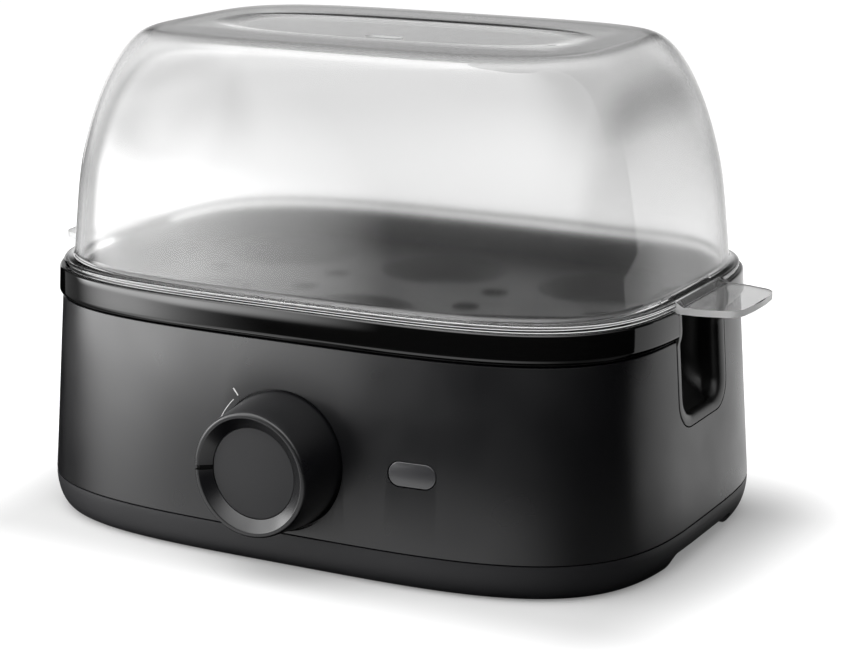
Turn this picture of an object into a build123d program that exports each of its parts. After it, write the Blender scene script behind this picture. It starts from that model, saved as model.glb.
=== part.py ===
from build123d import *
import math
import os

os.makedirs("parts", exist_ok=True)

# An electric egg cooker: a drafted oblong housing on a bottom cover, a glossy top frame with a
# grip pocket at each short end, a heated water dish, an egg tray and a clear lift-off lid.
# Millimetres. +X along the length, -Y towards the control knob, +Z up, floor at z = 0.
# A positive offset lies outside the outline at the upper seam, a negative one inside it.

# Outline of the body at the upper seam: shallow bows along the sides, round corners
half_length = 105.0
half_depth = 74.8
long_bow_radius = 668.0
end_bow_radius = 640.0
corner_radius = 44.9

# Heights of the seams
cover_bottom = 0.8
cover_seam = 12.2
rim_height = 81.3
band_height = 10.0
seam_groove = 0.3

# Clearances
seat_gap = 0.1
moving_gap = 0.3
shaft_clearance = 0.04
through = 200.0

# Housing
housing_wall = 2.5
draft_growth = 4.1

# Bottom cover
cover_wall = 2.2
cover_tuck = 6.2
cover_sweep = 77.4
cover_tongue = 3.0
tongue_wall = 1.8
tunnel_half_width = 24.0
tunnel_height = 5.6
tunnel_edge_radius = 4.0
pillar_radius = 4.2
pillar_wall = 0.8
pillar_inset_x = 21.0
pillar_inset_y = 23.3
screw_radius = 1.5
screw_length = 17.0
screw_head_radius = 3.2
screw_head_height = 1.8
screw_slot_width = 0.8

# Rubber feet
foot_radius = 7.0
foot_seat_depth = 1.0
foot_edge = 0.4
foot_inset_x = 47.0
foot_inset_y = 22.8

# Top frame
band_proud = 1.2
band_top_proud = 0.6
band_edge_radius = 1.6
band_top_radius = 0.5
frame_wall = 2.0
rim_width = 7.6
frame_tongue = 5.0
ledge_thickness = 2.0
basin_offset = -16.5
basin_depth = 9.0
dish_land_width = 6.5
dish_land_thickness = 2.0
boss_height = 3.0
boss_radius = 3.0

# Grip pockets
pocket_half_width = 19.5
pocket_height = 38.3
pocket_corner = 9.0
pocket_depth = 13.6
pocket_back_wall = 1.8
grip_half_width = 14.2
grip_sill = 3.2
grip_corner = 7.0
grip_scoop_radius = 14.0
notch_half_width = 19.8
notch_slope = 2.2
notch_depth = 1.8
notch_inset = 3.1

# Water dish
dish_metal = 1.5
dish_rim = 1.0
dish_depth = 6.5
dish_slope = 4.5
gasket_thickness = 1.0
gasket_width = 2.4
dish_screw_inset = 18.4
dish_screw_x = 42.0

# Egg tray
tray_thickness = 2.0
tray_rise = 0.7
tray_side_gap = 1.4
well_inset_x = 46.0
well_inset_y = 41.8
well_wall = 0.8
well_radius = 21.5
well_depth = 7.5
well_foot_radius = 14.5
well_drain_radius = 6.0
steam_hole_radius = 4.5
steam_hole_y = 10.5
end_hole_inset = 35.0

# Lid
lid_flange = 2.2
lid_wall = 2.2
lid_outer_offset = -0.6
lid_wall_offset = -3.4
lid_draft = 0.118
lid_straight = 20.0
lid_shoulder = 53.5
lid_shoulder_width = 16.3
lid_cove = 1.6
lid_flange_edge = 0.5
lid_panel_inset_x = 44.0
lid_panel_inset_y = 50.8
lid_panel_radius = 20.0
lid_panel_depth = 1.0
vent_length = 13.0
vent_width = 4.0
vent_x = 2.5
vent_y = -15.0
tab_length = 19.4
tab_root = 4.5
tab_root_half = 19.0
tab_tip_half = 12.5
tab_thickness = 2.1
tab_rise = 0.7
tab_corner = 6.0

# Knob and its control
knob_height = 34.8
knob_radius = 21.5
knob_front_radius = 19.2
knob_length = 19.5
knob_wall = 2.1
knob_disc_radius = 14.25
knob_disc_depth = 2.6
knob_cap_thickness = 1.2
knob_edge = 1.0
knob_hub_radius = 5.4
knob_seat_proud = 0.4
knob_side_gap = 0.5
knob_boss_rim = 3.0
gland_boss_rim = 2.0
pointer_width = 1.3
pointer_depth = 1.2
shaft_radius = 3.0
shaft_flat = 2.2
shaft_engagement = 11.0
nut_radius = 7.0
nut_thickness = 2.5
bushing_radius = 5.0
bracket_thickness = 1.2
bracket_width = 62.0
bracket_height = 24.0
bracket_corner = 3.0
bracket_screw_x = 26.0
bracket_screw_reach = 2.5
bracket_boss_radius = 3.4
switch_width = 30.0
switch_height = 23.0
switch_depth = 21.0
switch_wall = 2.0
switch_corner = 2.0
pin_width = 0.8
pin_length = 6.0

# Indicator light
lens_x = 45.0
lens_z = 36.4
lens_length = 15.4
lens_width = 7.5
lens_lip = 1.5
lens_lip_thickness = 1.2
lens_depth = 4.0
lamp_radius = 2.5
lamp_length = 8.0
lamp_holder_length = 9.0
lamp_holder_width = 16.0
lamp_holder_height = 9.5
lamp_mouth_depth = 4.0
lamp_lead_radius = 0.4
lamp_lead_pitch = 2.54
lamp_lead_length = 5.0

# Heating element and its guards
element_radius = 3.3
element_inset_x = 43.0
element_inset_y = 43.8
element_bend = 20.0
element_end_x = 16.0
element_pin_radius = 1.1
element_pin_length = 8.0
shield_inset_x = 31.0
shield_inset_y = 34.8
shield_corner = 18.0
shield_thickness = 0.8
shield_drop = 13.0
shield_leg = 7.0
shield_hole_gap = 6.0
thermostat_radius = 9.0
thermostat_flange = 3.6
thermostat_body_radius = 7.4
thermostat_body = 6.0
thermostat_pin_x = 4.0
clip_half_length = 19.0
clip_ring_radius = 12.0
clip_width = 9.0
clip_thickness = 0.8
fuse_radius = 2.4
fuse_length = 20.0
fuse_lead_radius = 0.5
fuse_lead_length = 7.0
fuse_y = 17.0

# Electrics on the bottom cover
board_x = 38.0
board_y = -14.0
board_length = 52.0
board_width = 34.0
board_thickness = 1.6
board_height = 16.0
board_post_radius = 2.6
board_post_inset = 4.0
relay_height = 9.0
relay_length = 16.0
relay_width = 11.0
capacitor_radius = 4.0
capacitor_height = 10.0
connector_height = 6.0
connector_length = 16.0
connector_width = 7.0
buzzer_radius = 6.0
buzzer_height = 5.5
terminal_x = -28.0
terminal_inset = 27.8
terminal_length = 24.0
terminal_width = 10.0
terminal_height = 12.0
terminal_pitch = 8.0
terminal_hole_radius = 2.0
terminal_hole_depth = 5.0
gland_x = -62.0
gland_z = 24.0
gland_sink = 1.8
gland_bore = 3.4
gland_neck = 4.9
gland_flange = 7.2
gland_flange_thickness = 2.2
gland_catch = 1.6
gland_catch_length = 2.0
clamp_distance = 15.0
clamp_half_length = 11.0
clamp_width = 8.0
clamp_thickness = 2.6
clamp_corner = 2.5
clamp_screw_x = 7.6
clamp_screw_depth = 7.0
clamp_post_radius = 3.0
small_head_radius = 2.8

# Worked out from the sizes above
upper_seam = rim_height - band_height
pillar_x = half_length - pillar_inset_x
pillar_y = half_depth - pillar_inset_y
foot_x = half_length - foot_inset_x
foot_y = half_depth - foot_inset_y
pocket_bottom = rim_height - pocket_height
pocket_back_x = half_length - pocket_depth
grip_bottom = pocket_bottom + grip_sill
notch_floor = rim_height - notch_depth
notch_start_x = half_length - notch_inset
tab_reach = half_length + tab_length
tab_top = rim_height + tab_rise
well_pitch_x = half_length - well_inset_x
well_row_y = half_depth - well_inset_y
end_hole_x = half_length - end_hole_inset
element_half_x = half_length - element_inset_x
element_half_y = half_depth - element_inset_y
shield_half_x = half_length - shield_inset_x
shield_half_y = half_depth - shield_inset_y
knob_seat_y = -half_depth - knob_seat_proud
lens_inner_y = lens_depth - half_depth
terminal_y = half_depth - terminal_inset
gland_seat_y = half_depth - gland_sink
clamp_y = gland_seat_y - clamp_distance
tongue_offset = -housing_wall - moving_gap
tray_top = upper_seam + tray_rise
ledge_top = tray_top - tray_thickness
ledge_bottom = ledge_top - ledge_thickness
land_bottom = ledge_bottom - basin_depth
dish_rim_top = land_bottom - gasket_thickness
dish_bottom = dish_rim_top - dish_depth
cover_floor = tunnel_height + cover_wall
knob_front_y = knob_seat_y - moving_gap - knob_length
bracket_y = knob_seat_y + housing_wall + 0.5 + nut_thickness
switch_y = bracket_y + bracket_thickness
lid_top = rim_height + lid_flange + lid_straight + lid_shoulder
rear_y = half_depth + draft_growth
frame_shift = -(knob_front_y + rear_y) / 2


def growth(z):
    """Offset of the housing's outer face at the height z."""
    return draft_growth * (upper_seam - z) / (upper_seam - cover_seam)


def corner_centre():
    """Centre shared by every offset of a corner arc."""
    long_centre = half_depth - long_bow_radius
    end_centre = half_length - end_bow_radius
    to_long = long_bow_radius - corner_radius
    to_end = end_bow_radius - corner_radius
    span = math.hypot(end_centre, long_centre)
    along = (to_long**2 - to_end**2 + span**2) / (2 * span)
    across = math.sqrt(to_long**2 - along**2)
    ux, uy = end_centre / span, -long_centre / span
    return ux * along + uy * across, long_centre + uy * along - ux * across


def plan(offset, z):
    """The body's outline at an offset, as a face at the height z, in eight tangent arcs."""
    kx, ky = corner_centre()
    long_centre = half_depth - long_bow_radius
    end_centre = half_length - end_bow_radius
    lean_long = math.atan2(kx, ky - long_centre)
    lean_end = math.atan2(ky, kx - end_centre)
    reach = long_bow_radius + offset
    ax, ay = reach * math.sin(lean_long), long_centre + reach * math.cos(lean_long)
    reach = end_bow_radius + offset
    bx, by = end_centre + reach * math.cos(lean_end), reach * math.sin(lean_end)
    half_turn = (math.pi / 2 - lean_long + lean_end) / 2
    mx = kx + (corner_radius + offset) * math.cos(half_turn)
    my = ky + (corner_radius + offset) * math.sin(half_turn)
    top, side = half_depth + offset, half_length + offset
    arcs = [
        ThreePointArc((-ax, ay), (0, top), (ax, ay)),
        ThreePointArc((ax, ay), (mx, my), (bx, by)),
        ThreePointArc((bx, by), (side, 0), (bx, -by)),
        ThreePointArc((bx, -by), (mx, -my), (ax, -ay)),
        ThreePointArc((ax, -ay), (0, -top), (-ax, -ay)),
        ThreePointArc((-ax, -ay), (-mx, -my), (-bx, -by)),
        ThreePointArc((-bx, -by), (-side, 0), (-bx, by)),
        ThreePointArc((-bx, by), (-mx, my), (-ax, ay)),
    ]
    return Pos(0, 0, z) * make_face(Wire(arcs))


def block(low, high, offset_low, offset_high=None):
    """Solid between two heights with the body's outline, ruled between two offsets."""
    offset_high = offset_low if offset_high is None else offset_high
    return loft([plan(offset_low, low), plan(offset_high, high)], ruled=True)


def ring(low, high, outer, inner):
    """Closed band between two heights; outer and inner are one offset or a (low, high) pair."""
    outer = outer if isinstance(outer, tuple) else (outer, outer)
    inner = inner if isinstance(inner, tuple) else (inner, inner)
    return block(low, high, *outer) - block(low, high, *inner)


def post(x, y, low, high, radius):
    """Upright cylinder."""
    base = (Align.CENTER, Align.CENTER, Align.MIN)
    return Pos(x, y, low) * Cylinder(radius, high - low, align=base)


def bar(x0, x1, y0, y1, z0, z1):
    """Box between two corners."""
    size = (x1 - x0, y1 - y0, z1 - z0)
    return Pos(x0, y0, z0) * Box(*size, align=(Align.MIN, Align.MIN, Align.MIN))


def facing_front(shape, x, y, z):
    """Turns a shape built along +Z to look towards the front, and places it."""
    return Pos(x, y, z) * Rot(90, 0, 0) * shape


def front_post(x, z, y_back, y_front, radius):
    """Cylinder along Y between two depths."""
    base = (Align.CENTER, Align.CENTER, Align.MIN)
    return facing_front(Cylinder(radius, y_back - y_front, align=base), x, y_back, z)


def turned(points):
    """Solid of revolution about Z from (radius, height) points."""
    return revolve(Plane.XZ * make_face(Polyline(*points, close=True)), axis=Axis.Z)


def four_corners(x, y):
    return [(x, y), (-x, y), (-x, -y), (x, -y)]


def both_ends(shape):
    """A shape at the right-hand end, and its mirror image at the left."""
    return shape, mirror(shape, about=Plane.YZ)


def housing_outer():
    """Full outer form of the housing, without its openings."""
    return block(cover_seam, upper_seam, growth(cover_seam), growth(upper_seam))


def pocket_outline(half_width, bottom, corner, x0, x1, top):
    """Prism along X with a U outline, rounded at its lower corners."""
    height = top - bottom
    u_face = Rectangle(2 * half_width, height)
    u_face = fillet(u_face.vertices().group_by(Axis.Y)[0], corner)
    placed = Plane((x0, 0, bottom + height / 2), x_dir=(0, 1, 0), z_dir=(1, 0, 0)) * u_face
    return extrude(placed, x1 - x0)


def pocket_cut(clearance, x0):
    """Space that the housing and the frame leave for a grip pocket, at the right-hand end."""
    return pocket_outline(
        pocket_half_width + clearance,
        pocket_bottom - clearance,
        pocket_corner + clearance,
        x0,
        through,
        rim_height + 1,
    )


def housing():
    outer = housing_outer()
    inner = block(
        cover_seam, upper_seam, growth(cover_seam) - housing_wall, growth(upper_seam) - housing_wall
    )
    shell = outer - inner
    shell += (knob_boss(0) + gland_boss(0)) & outer
    for x in (-bracket_screw_x, bracket_screw_x):
        shell += front_post(x, knob_height, bracket_y, -through, bracket_boss_radius) & outer
        tip = bracket_screw_tip() - moving_gap
        shell -= front_post(x, knob_height, bracket_y, tip, screw_radius)
    shell -= front_post(0, knob_height, knob_seat_y, -through, knob_radius + knob_side_gap)
    shell -= front_post(0, knob_height, 0, -through, shaft_radius + 1)
    shell -= front_post(gland_x, gland_z, through, gland_seat_y, gland_flange + moving_gap)
    shell -= front_post(gland_x, gland_z, through, 0, gland_neck + seat_gap)
    shell -= lens_prism(seat_gap, 0, -through)
    for cut in both_ends(pocket_cut(seat_gap, pocket_back_x - frame_wall)):
        shell -= cut
    return shell


def bracket_screw_tip():
    """Depth that the bracket's screws reach in the front wall."""
    return knob_seat_y + bracket_screw_reach


def knob_boss(clearance):
    """Thicker disc of the front wall that carries the knob's sunken seat."""
    radius = knob_radius + knob_boss_rim + clearance
    return front_post(0, knob_height, knob_seat_y + housing_wall + clearance, -through, radius)


def gland_boss(clearance):
    """Thicker disc of the rear wall round the cord gland."""
    radius = gland_flange + gland_boss_rim + clearance
    inner_y = gland_seat_y - housing_wall - clearance
    return front_post(gland_x, gland_z, through, inner_y, radius)


def lens_prism(grow, y_back, y_front):
    """Stadium prism along Y at the indicator."""
    face = SlotOverall(lens_length + 2 * grow, lens_width + 2 * grow)
    return facing_front(extrude(face, y_back - y_front), lens_x, y_back, lens_z)


def indicator_lens():
    lens = lens_prism(0, lens_inner_y, -through) & housing_outer()
    return lens + lens_prism(lens_lip, lens_inner_y, lens_inner_y - lens_lip_thickness)


def lamp_holder():
    y_back = lens_inner_y + lamp_holder_length
    body = bar(
        lens_x - lamp_holder_width / 2,
        lens_x + lamp_holder_width / 2,
        lens_inner_y,
        y_back,
        lens_z - lamp_holder_height / 2,
        lens_z + lamp_holder_height / 2,
    )
    mouth = lens_prism(-lens_lip, lens_inner_y + lamp_mouth_depth, lens_inner_y)
    return body - mouth - front_post(lens_x, lens_z, y_back, lens_inner_y, lamp_radius + seat_gap)


def indicator_lamp():
    y_back = lens_inner_y + lamp_holder_length
    dome_y = y_back - lamp_length + lamp_radius
    barrel = front_post(lens_x, lens_z, y_back, dome_y, lamp_radius)
    dome = Pos(lens_x, dome_y, lens_z) * Sphere(lamp_radius)
    lamp = barrel + dome
    for x in (lens_x - lamp_lead_pitch / 2, lens_x + lamp_lead_pitch / 2):
        lamp += front_post(x, lens_z, y_back + lamp_lead_length, y_back, lamp_lead_radius)
    return lamp


def top_frame():
    band_foot = upper_seam + seam_groove
    band = ring(band_foot, rim_height, (band_proud, band_top_proud), tongue_offset)
    lower_edge = band.faces().sort_by(Axis.Z)[0].outer_wire().edges()
    band = fillet(lower_edge, band_edge_radius)
    upper_edge = band.faces().sort_by(Axis.Z)[-1].outer_wire().edges()
    band = fillet(upper_edge, band_top_radius)
    wall_outer = frame_wall - rim_width
    frame = band + ring(rim_height - frame_wall, rim_height, -band_top_proud, -rim_width)
    frame += ring(ledge_bottom, rim_height, wall_outer, -rim_width)
    frame += ring(ledge_bottom, ledge_top, wall_outer, basin_offset)
    skirt = (basin_offset + frame_wall, basin_offset)
    frame += ring(land_bottom, ledge_top, *skirt)
    land_inner = basin_offset - dish_land_width
    frame += ring(land_bottom, land_bottom + dish_land_thickness, skirt[0], land_inner)
    tongue_foot = upper_seam - frame_tongue
    tongue_inner = tongue_offset - frame_wall
    frame += ring(tongue_foot, rim_height - frame_wall / 2, tongue_offset, tongue_inner)
    pillar_foot = cover_seam + cover_tongue
    for x, y in four_corners(pillar_x, pillar_y):
        frame += post(x, y, pillar_foot, ledge_top, pillar_radius)
        frame -= post(x, y, pillar_foot, pillar_foot + screw_length, screw_radius)
    boss_top = land_bottom + dish_land_thickness + boss_height
    for x, y in dish_screw_places():
        frame += post(x, y, land_bottom, boss_top, boss_radius)
        frame -= post(x, y, land_bottom, boss_top - 1, screw_radius)
    for cut in both_ends(pocket_cut(seat_gap, pocket_back_x - seat_gap)):
        frame -= cut
    for cut in both_ends(lid_tab_notch()):
        frame -= cut
    return frame


def dish_screw_places():
    """Screws through the dish's rim, two on each long side."""
    drop = long_bow_radius - math.sqrt(long_bow_radius**2 - dish_screw_x**2)
    return four_corners(dish_screw_x, half_depth - dish_screw_inset - drop)


def lid_tab_notch():
    """Sloped notch in the rim under a lid tab, at the right-hand end."""
    top = rim_height + 1
    rise = notch_slope * (top - notch_floor) / (rim_height - notch_floor)
    outline = Polyline(
        (-notch_half_width, notch_floor),
        (notch_half_width, notch_floor),
        (notch_half_width + rise, top),
        (-notch_half_width - rise, top),
        close=True,
    )
    end_plane = Plane((notch_start_x, 0, 0), x_dir=(0, 1, 0), z_dir=(1, 0, 0))
    return extrude(end_plane * make_face(outline), through)


def grip_pocket():
    """Scooped grip at the right-hand end, open outward and upward."""
    form = housing_outer() + block(upper_seam, rim_height, band_proud, band_top_proud)
    pocket = form & pocket_outline(
        pocket_half_width, pocket_bottom, pocket_corner, pocket_back_x, through, rim_height
    )
    cavity_x = pocket_back_x + pocket_back_wall
    cavity_top = rim_height + 1
    scoop_x = cavity_x + grip_scoop_radius
    scoop_top = grip_bottom + grip_scoop_radius
    middle = grip_scoop_radius * (1 - math.sqrt(0.5))
    scoop = Line((cavity_x, cavity_top), (cavity_x, scoop_top))
    scoop += ThreePointArc(
        (cavity_x, scoop_top), (cavity_x + middle, grip_bottom + middle), (scoop_x, grip_bottom)
    )
    scoop += Polyline(
        (scoop_x, grip_bottom), (through, grip_bottom), (through, cavity_top), (cavity_x, cavity_top)
    )
    side = Plane((0, grip_half_width, 0), x_dir=(1, 0, 0), z_dir=(0, -1, 0)) * make_face(scoop)
    cavity = extrude(side, 2 * grip_half_width)
    cavity &= pocket_outline(
        grip_half_width, grip_bottom, grip_corner, pocket_back_x, through, cavity_top
    )
    return pocket - cavity - lid_tab_notch()


def cover_form(inset, floor):
    """Outer form of the bottom cover, tucked in towards the floor by a smooth curve."""
    rise = cover_seam - floor
    last = math.radians(cover_sweep)
    levels = []
    for step in range(5):
        turn = last * step / 4
        z = cover_seam - rise * math.sin(turn) / math.sin(last)
        tuck = cover_tuck * (1 - math.cos(turn)) / (1 - math.cos(last))
        levels.append(plan(draft_growth - inset - tuck, z))
    return loft(levels[::-1])


def cover_tunnel(half_width, height):
    """Space between the front and rear rails, right through from end to end."""
    tunnel = bar(-through, through, -half_width, half_width, -through, height)
    return fillet(tunnel.edges().filter_by(Axis.X).group_by(Axis.Z)[-1], tunnel_edge_radius)


def bottom_cover():
    outer = cover_form(0, cover_bottom) - cover_tunnel(tunnel_half_width, tunnel_height)
    inner = cover_form(cover_wall, cover_bottom + cover_wall)
    inner -= cover_tunnel(tunnel_half_width + cover_wall, cover_floor)
    cover = outer - inner
    outer_edge = draft_growth + tongue_offset
    inner_edge = outer_edge - tongue_wall
    cover += ring(cover_seam - cover_wall, cover_seam, outer_edge + 2 * moving_gap, inner_edge)
    tongue = ring(cover_seam, cover_seam + cover_tongue, outer_edge, inner_edge)
    cover += tongue - (knob_boss(moving_gap) + gland_boss(moving_gap))
    pillar_top = cover_seam + cover_tongue
    head_room = cover_bottom + screw_head_height + 1
    for x, y in four_corners(pillar_x, pillar_y):
        cover += post(x, y, cover_bottom, pillar_top, pillar_radius + pillar_wall)
        cover -= post(x, y, 0, pillar_top, screw_radius + moving_gap)
        cover -= post(x, y, 0, head_room, screw_head_radius + moving_gap)
    seat_top = cover_bottom + foot_seat_depth
    for x, y in four_corners(foot_x, foot_y):
        cover += post(x, y, cover_bottom, seat_top + cover_wall, foot_radius + cover_wall)
        cover -= post(x, y, 0, seat_top, foot_radius + seat_gap)
    post_x, post_y = board_length / 2 - board_post_inset, board_width / 2 - board_post_inset
    for x, y in four_corners(post_x, post_y):
        cover += post(board_x + x, board_y + y, cover_floor - 1, board_height, board_post_radius)
    post_top = gland_z - gland_bore
    for x in (gland_x - clamp_screw_x, gland_x + clamp_screw_x):
        cover += post(x, clamp_y, cover_bottom + 1, post_top, clamp_post_radius)
        cover -= post(x, clamp_y, post_top - clamp_screw_depth - 1, post_top, screw_radius)
    return cover


def cover_screws():
    """One slotted pan-head screw up into each pillar."""
    head_low = cover_bottom + 1
    tip = cover_seam + cover_tongue + screw_length - 1
    half = screw_slot_width / 2
    screws = []
    for x, y in four_corners(pillar_x, pillar_y):
        head = post(x, y, head_low, head_low + screw_head_height, screw_head_radius)
        slot_x = screw_head_radius - screw_slot_width
        slot = bar(x - slot_x, x + slot_x, y - half, y + half, head_low, head_low + screw_slot_width)
        screws.append(head - slot + post(x, y, head_low + screw_slot_width, tip, screw_radius))
    return Compound(screws)


def rubber_feet():
    feet = []
    for x, y in four_corners(foot_x, foot_y):
        foot = post(x, y, 0, cover_bottom + foot_seat_depth, foot_radius)
        feet.append(chamfer(foot.edges().sort_by(Axis.Z)[0], foot_edge))
    return Compound(feet)


def heating_plate():
    """Shallow metal water dish with a flat rim."""
    wall_top = basin_offset - dish_land_width - 1
    outer = block(dish_bottom - dish_metal, dish_rim_top, wall_top - dish_slope, wall_top + 1)
    inner = block(
        dish_bottom, dish_rim_top + 0.01, wall_top - dish_slope - dish_metal, wall_top - 0.5
    )
    rim = ring(dish_rim_top - dish_rim, dish_rim_top, basin_offset + 0.5, wall_top - 0.5)
    plate = outer + rim - inner
    for x, y in dish_screw_places():
        plate -= post(x, y, dish_bottom, dish_rim_top + 1, screw_radius + 0.2)
    return plate


def plate_gasket():
    inner = basin_offset - dish_land_width + 0.6
    return ring(dish_rim_top, land_bottom, inner + gasket_width, inner)


def plate_screws():
    screws = []
    head_top = dish_rim_top - dish_rim
    for x, y in dish_screw_places():
        head = post(x, y, head_top - screw_head_height, head_top, small_head_radius)
        screws.append(head + post(x, y, head_top, land_bottom + boss_height, screw_radius))
    return Compound(screws)


def heating_element():
    """Bent tubular element lying under the dish, with a terminal pin at each cold end."""
    z = dish_bottom - dish_metal - element_radius - seat_gap
    path = FilletPolyline(
        (element_end_x, element_half_y, z),
        (element_half_x, element_half_y, z),
        (element_half_x, -element_half_y, z),
        (-element_half_x, -element_half_y, z),
        (-element_half_x, element_half_y, z),
        (-element_end_x, element_half_y, z),
        radius=element_bend,
    )
    start = Plane(origin=path @ 0, z_dir=path % 0)
    tube = sweep(start * Circle(element_radius), path=path)
    pin = start * Cylinder(element_pin_radius, 2 * element_pin_length)
    return tube + pin + mirror(pin, about=Plane.YZ)


def shield_top():
    return dish_bottom - dish_metal - shield_drop


def heat_shield():
    """Thin steel sheet under the element, hung from the dish by four legs."""
    sheet = RectangleRounded(2 * shield_half_x, 2 * shield_half_y, shield_corner)
    shield = Pos(0, 0, shield_top() - shield_thickness) * extrude(sheet, shield_thickness)
    top = dish_bottom - dish_metal
    for x, y in four_corners(shield_half_x - shield_corner / 2, shield_half_y - shield_corner / 2):
        half = shield_leg / 2
        thick = shield_thickness / 2
        shield += bar(x - half, x + half, y - thick, y + thick, shield_top() - thick, top)
    return shield - post(0, 0, 0, top, thermostat_body_radius + shield_hole_gap)


def thermostat():
    top = dish_bottom - dish_metal
    flange_low = top - thermostat_flange
    body_low = flange_low - thermostat_body
    body = post(0, 0, flange_low, top, thermostat_radius)
    body += post(0, 0, body_low, flange_low, thermostat_body_radius)
    half = pin_width / 2
    for x in (-thermostat_pin_x, thermostat_pin_x):
        body += bar(x - half, x + half, -pin_length / 2, pin_length / 2, body_low - pin_length, body_low)
    return body


def thermostat_clip():
    """Spring strip that presses the thermostat's flange against the dish."""
    top = dish_bottom - dish_metal
    strip_top = top - thermostat_flange
    low = strip_top - clip_thickness
    half = clip_width / 2
    strip = bar(-clip_half_length, clip_half_length, -half, half, low, strip_top)
    strip += post(0, 0, low, strip_top, clip_ring_radius)
    strip -= post(0, 0, low, strip_top, thermostat_body_radius + seat_gap)
    for side in (-1, 1):
        x = side * (clip_half_length - clip_thickness / 2)
        thick = clip_thickness / 2
        strip += bar(x - thick, x + thick, -half, half, low, top)
    return strip


def thermal_fuse():
    z = dish_bottom - dish_metal - fuse_radius - seat_gap
    sleeve = Pos(0, fuse_y, z) * Rot(0, 90, 0) * Cylinder(fuse_radius, fuse_length)
    leads = fuse_length + 2 * fuse_lead_length
    lead = Pos(0, fuse_y, z) * Rot(0, 90, 0) * Cylinder(fuse_lead_radius, leads)
    return sleeve + lead


def knob_cap_floor():
    """Height of the seat of the knob's disc above the knob's back."""
    return knob_length - knob_disc_depth - knob_cap_thickness - seat_gap


def knob():
    rim = knob_front_radius
    floor = knob_cap_floor()
    body = turned(
        [
            (0, 0),
            (knob_radius, 0),
            (rim, knob_length - knob_edge),
            (rim - 0.3 * knob_edge, knob_length - 0.3 * knob_edge),
            (rim - knob_edge, knob_length),
            (knob_disc_radius, knob_length - knob_disc_depth),
            (knob_disc_radius, floor),
            (0, floor),
        ]
    )
    inside = floor - knob_wall
    hollow = turned(
        [
            (0, 0),
            (knob_radius - knob_wall, 0),
            (rim - knob_wall, inside),
            (0, inside),
        ]
    )
    hub = post(0, 0, 0, inside, knob_hub_radius)
    bore = post(0, 0, 0, shaft_engagement, shaft_radius + seat_gap / 2)
    flat = shaft_flat + seat_gap / 2
    bore -= bar(-shaft_radius - 1, shaft_radius + 1, flat, through, 0, shaft_engagement)
    body = body - hollow + (hub - bore)
    notch_low = knob_length - pointer_depth
    half = pointer_width / 2
    body -= bar(-knob_radius, -knob_disc_radius, -half, half, notch_low, knob_length + 1)
    return facing_front(body, 0, knob_seat_y - moving_gap, knob_height)


def knob_cap():
    floor = knob_cap_floor()
    cap = post(0, 0, floor, floor + knob_cap_thickness, knob_disc_radius - seat_gap)
    cap = chamfer(cap.edges().sort_by(Axis.Z)[-1], 3 * seat_gap)
    return facing_front(cap, 0, knob_seat_y - moving_gap, knob_height)


def control_shaft():
    tip = knob_seat_y - shaft_engagement
    back = switch_y + switch_depth - 2 * switch_wall
    shaft = front_post(0, knob_height, back, tip, shaft_radius)
    flat_z = knob_height + shaft_flat
    return shaft - bar(-shaft_radius, shaft_radius, tip, knob_seat_y, flat_z, flat_z + shaft_radius)


def control_switch():
    half_w, half_h = switch_width / 2, switch_height / 2
    body = bar(
        -half_w,
        half_w,
        switch_y,
        switch_y + switch_depth,
        knob_height - half_h,
        knob_height + half_h,
    )
    body = fillet(body.edges().filter_by(Axis.Y), switch_corner)
    body += front_post(0, knob_height, switch_y, bracket_y - nut_thickness, bushing_radius)
    rear = switch_y + switch_depth
    bore_radius = shaft_radius + shaft_clearance
    body -= front_post(0, knob_height, rear - switch_wall, -through, bore_radius)
    half = pin_width / 2
    low, high = knob_height - pin_length / 2, knob_height + pin_length / 2
    for step in (-1.5, -0.5, 0.5, 1.5):
        x = step * pin_length
        body += bar(x - half, x + half, rear, rear + pin_length, low, high)
    return body


def control_nut():
    y_front = bracket_y - nut_thickness
    nut = extrude(RegularPolygon(nut_radius, 6), nut_thickness)
    nut = facing_front(nut, 0, bracket_y, knob_height)
    return nut - front_post(0, knob_height, bracket_y, y_front, bushing_radius + seat_gap / 2)


def control_bracket():
    half_w, half_h = bracket_width / 2, bracket_height / 2
    plate = bar(-half_w, half_w, bracket_y, switch_y, knob_height - half_h, knob_height + half_h)
    plate = fillet(plate.edges().filter_by(Axis.Y), bracket_corner)
    plate -= front_post(0, knob_height, 0, -through, bushing_radius + seat_gap / 2)
    for x in (-bracket_screw_x, bracket_screw_x):
        plate -= front_post(x, knob_height, 0, -through, screw_radius + 2 * seat_gap)
    return plate


def bracket_screws():
    screws = []
    for side in (-1, 1):
        x = side * bracket_screw_x
        head_y = switch_y + screw_head_height
        head = front_post(x, knob_height, head_y, switch_y, small_head_radius)
        screws.append(head + front_post(x, knob_height, switch_y, bracket_screw_tip(), screw_radius))
    return Compound(screws)


def control_board():
    """Board with a relay, a capacitor and a connector."""
    half_l, half_w = board_length / 2, board_width / 2
    x0, x1, y0, y1 = board_x - half_l, board_x + half_l, board_y - half_w, board_y + half_w
    top = board_height + board_thickness
    board = bar(x0, x1, y0, y1, board_height, top)
    x, y = x0 + 2 * board_post_inset, y0 + board_post_inset + 1
    board += bar(x, x + relay_length, y, y + relay_width, top, top + relay_height)
    y = y1 - 2 * capacitor_radius
    board += post(x + capacitor_radius, y, top, top + capacitor_height, capacitor_radius)
    x, y = x1 - connector_length - 2 * board_post_inset, y1 - connector_width - board_post_inset
    board += bar(x, x + connector_length, y, y + connector_width, top, top + connector_height)
    return board


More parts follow.
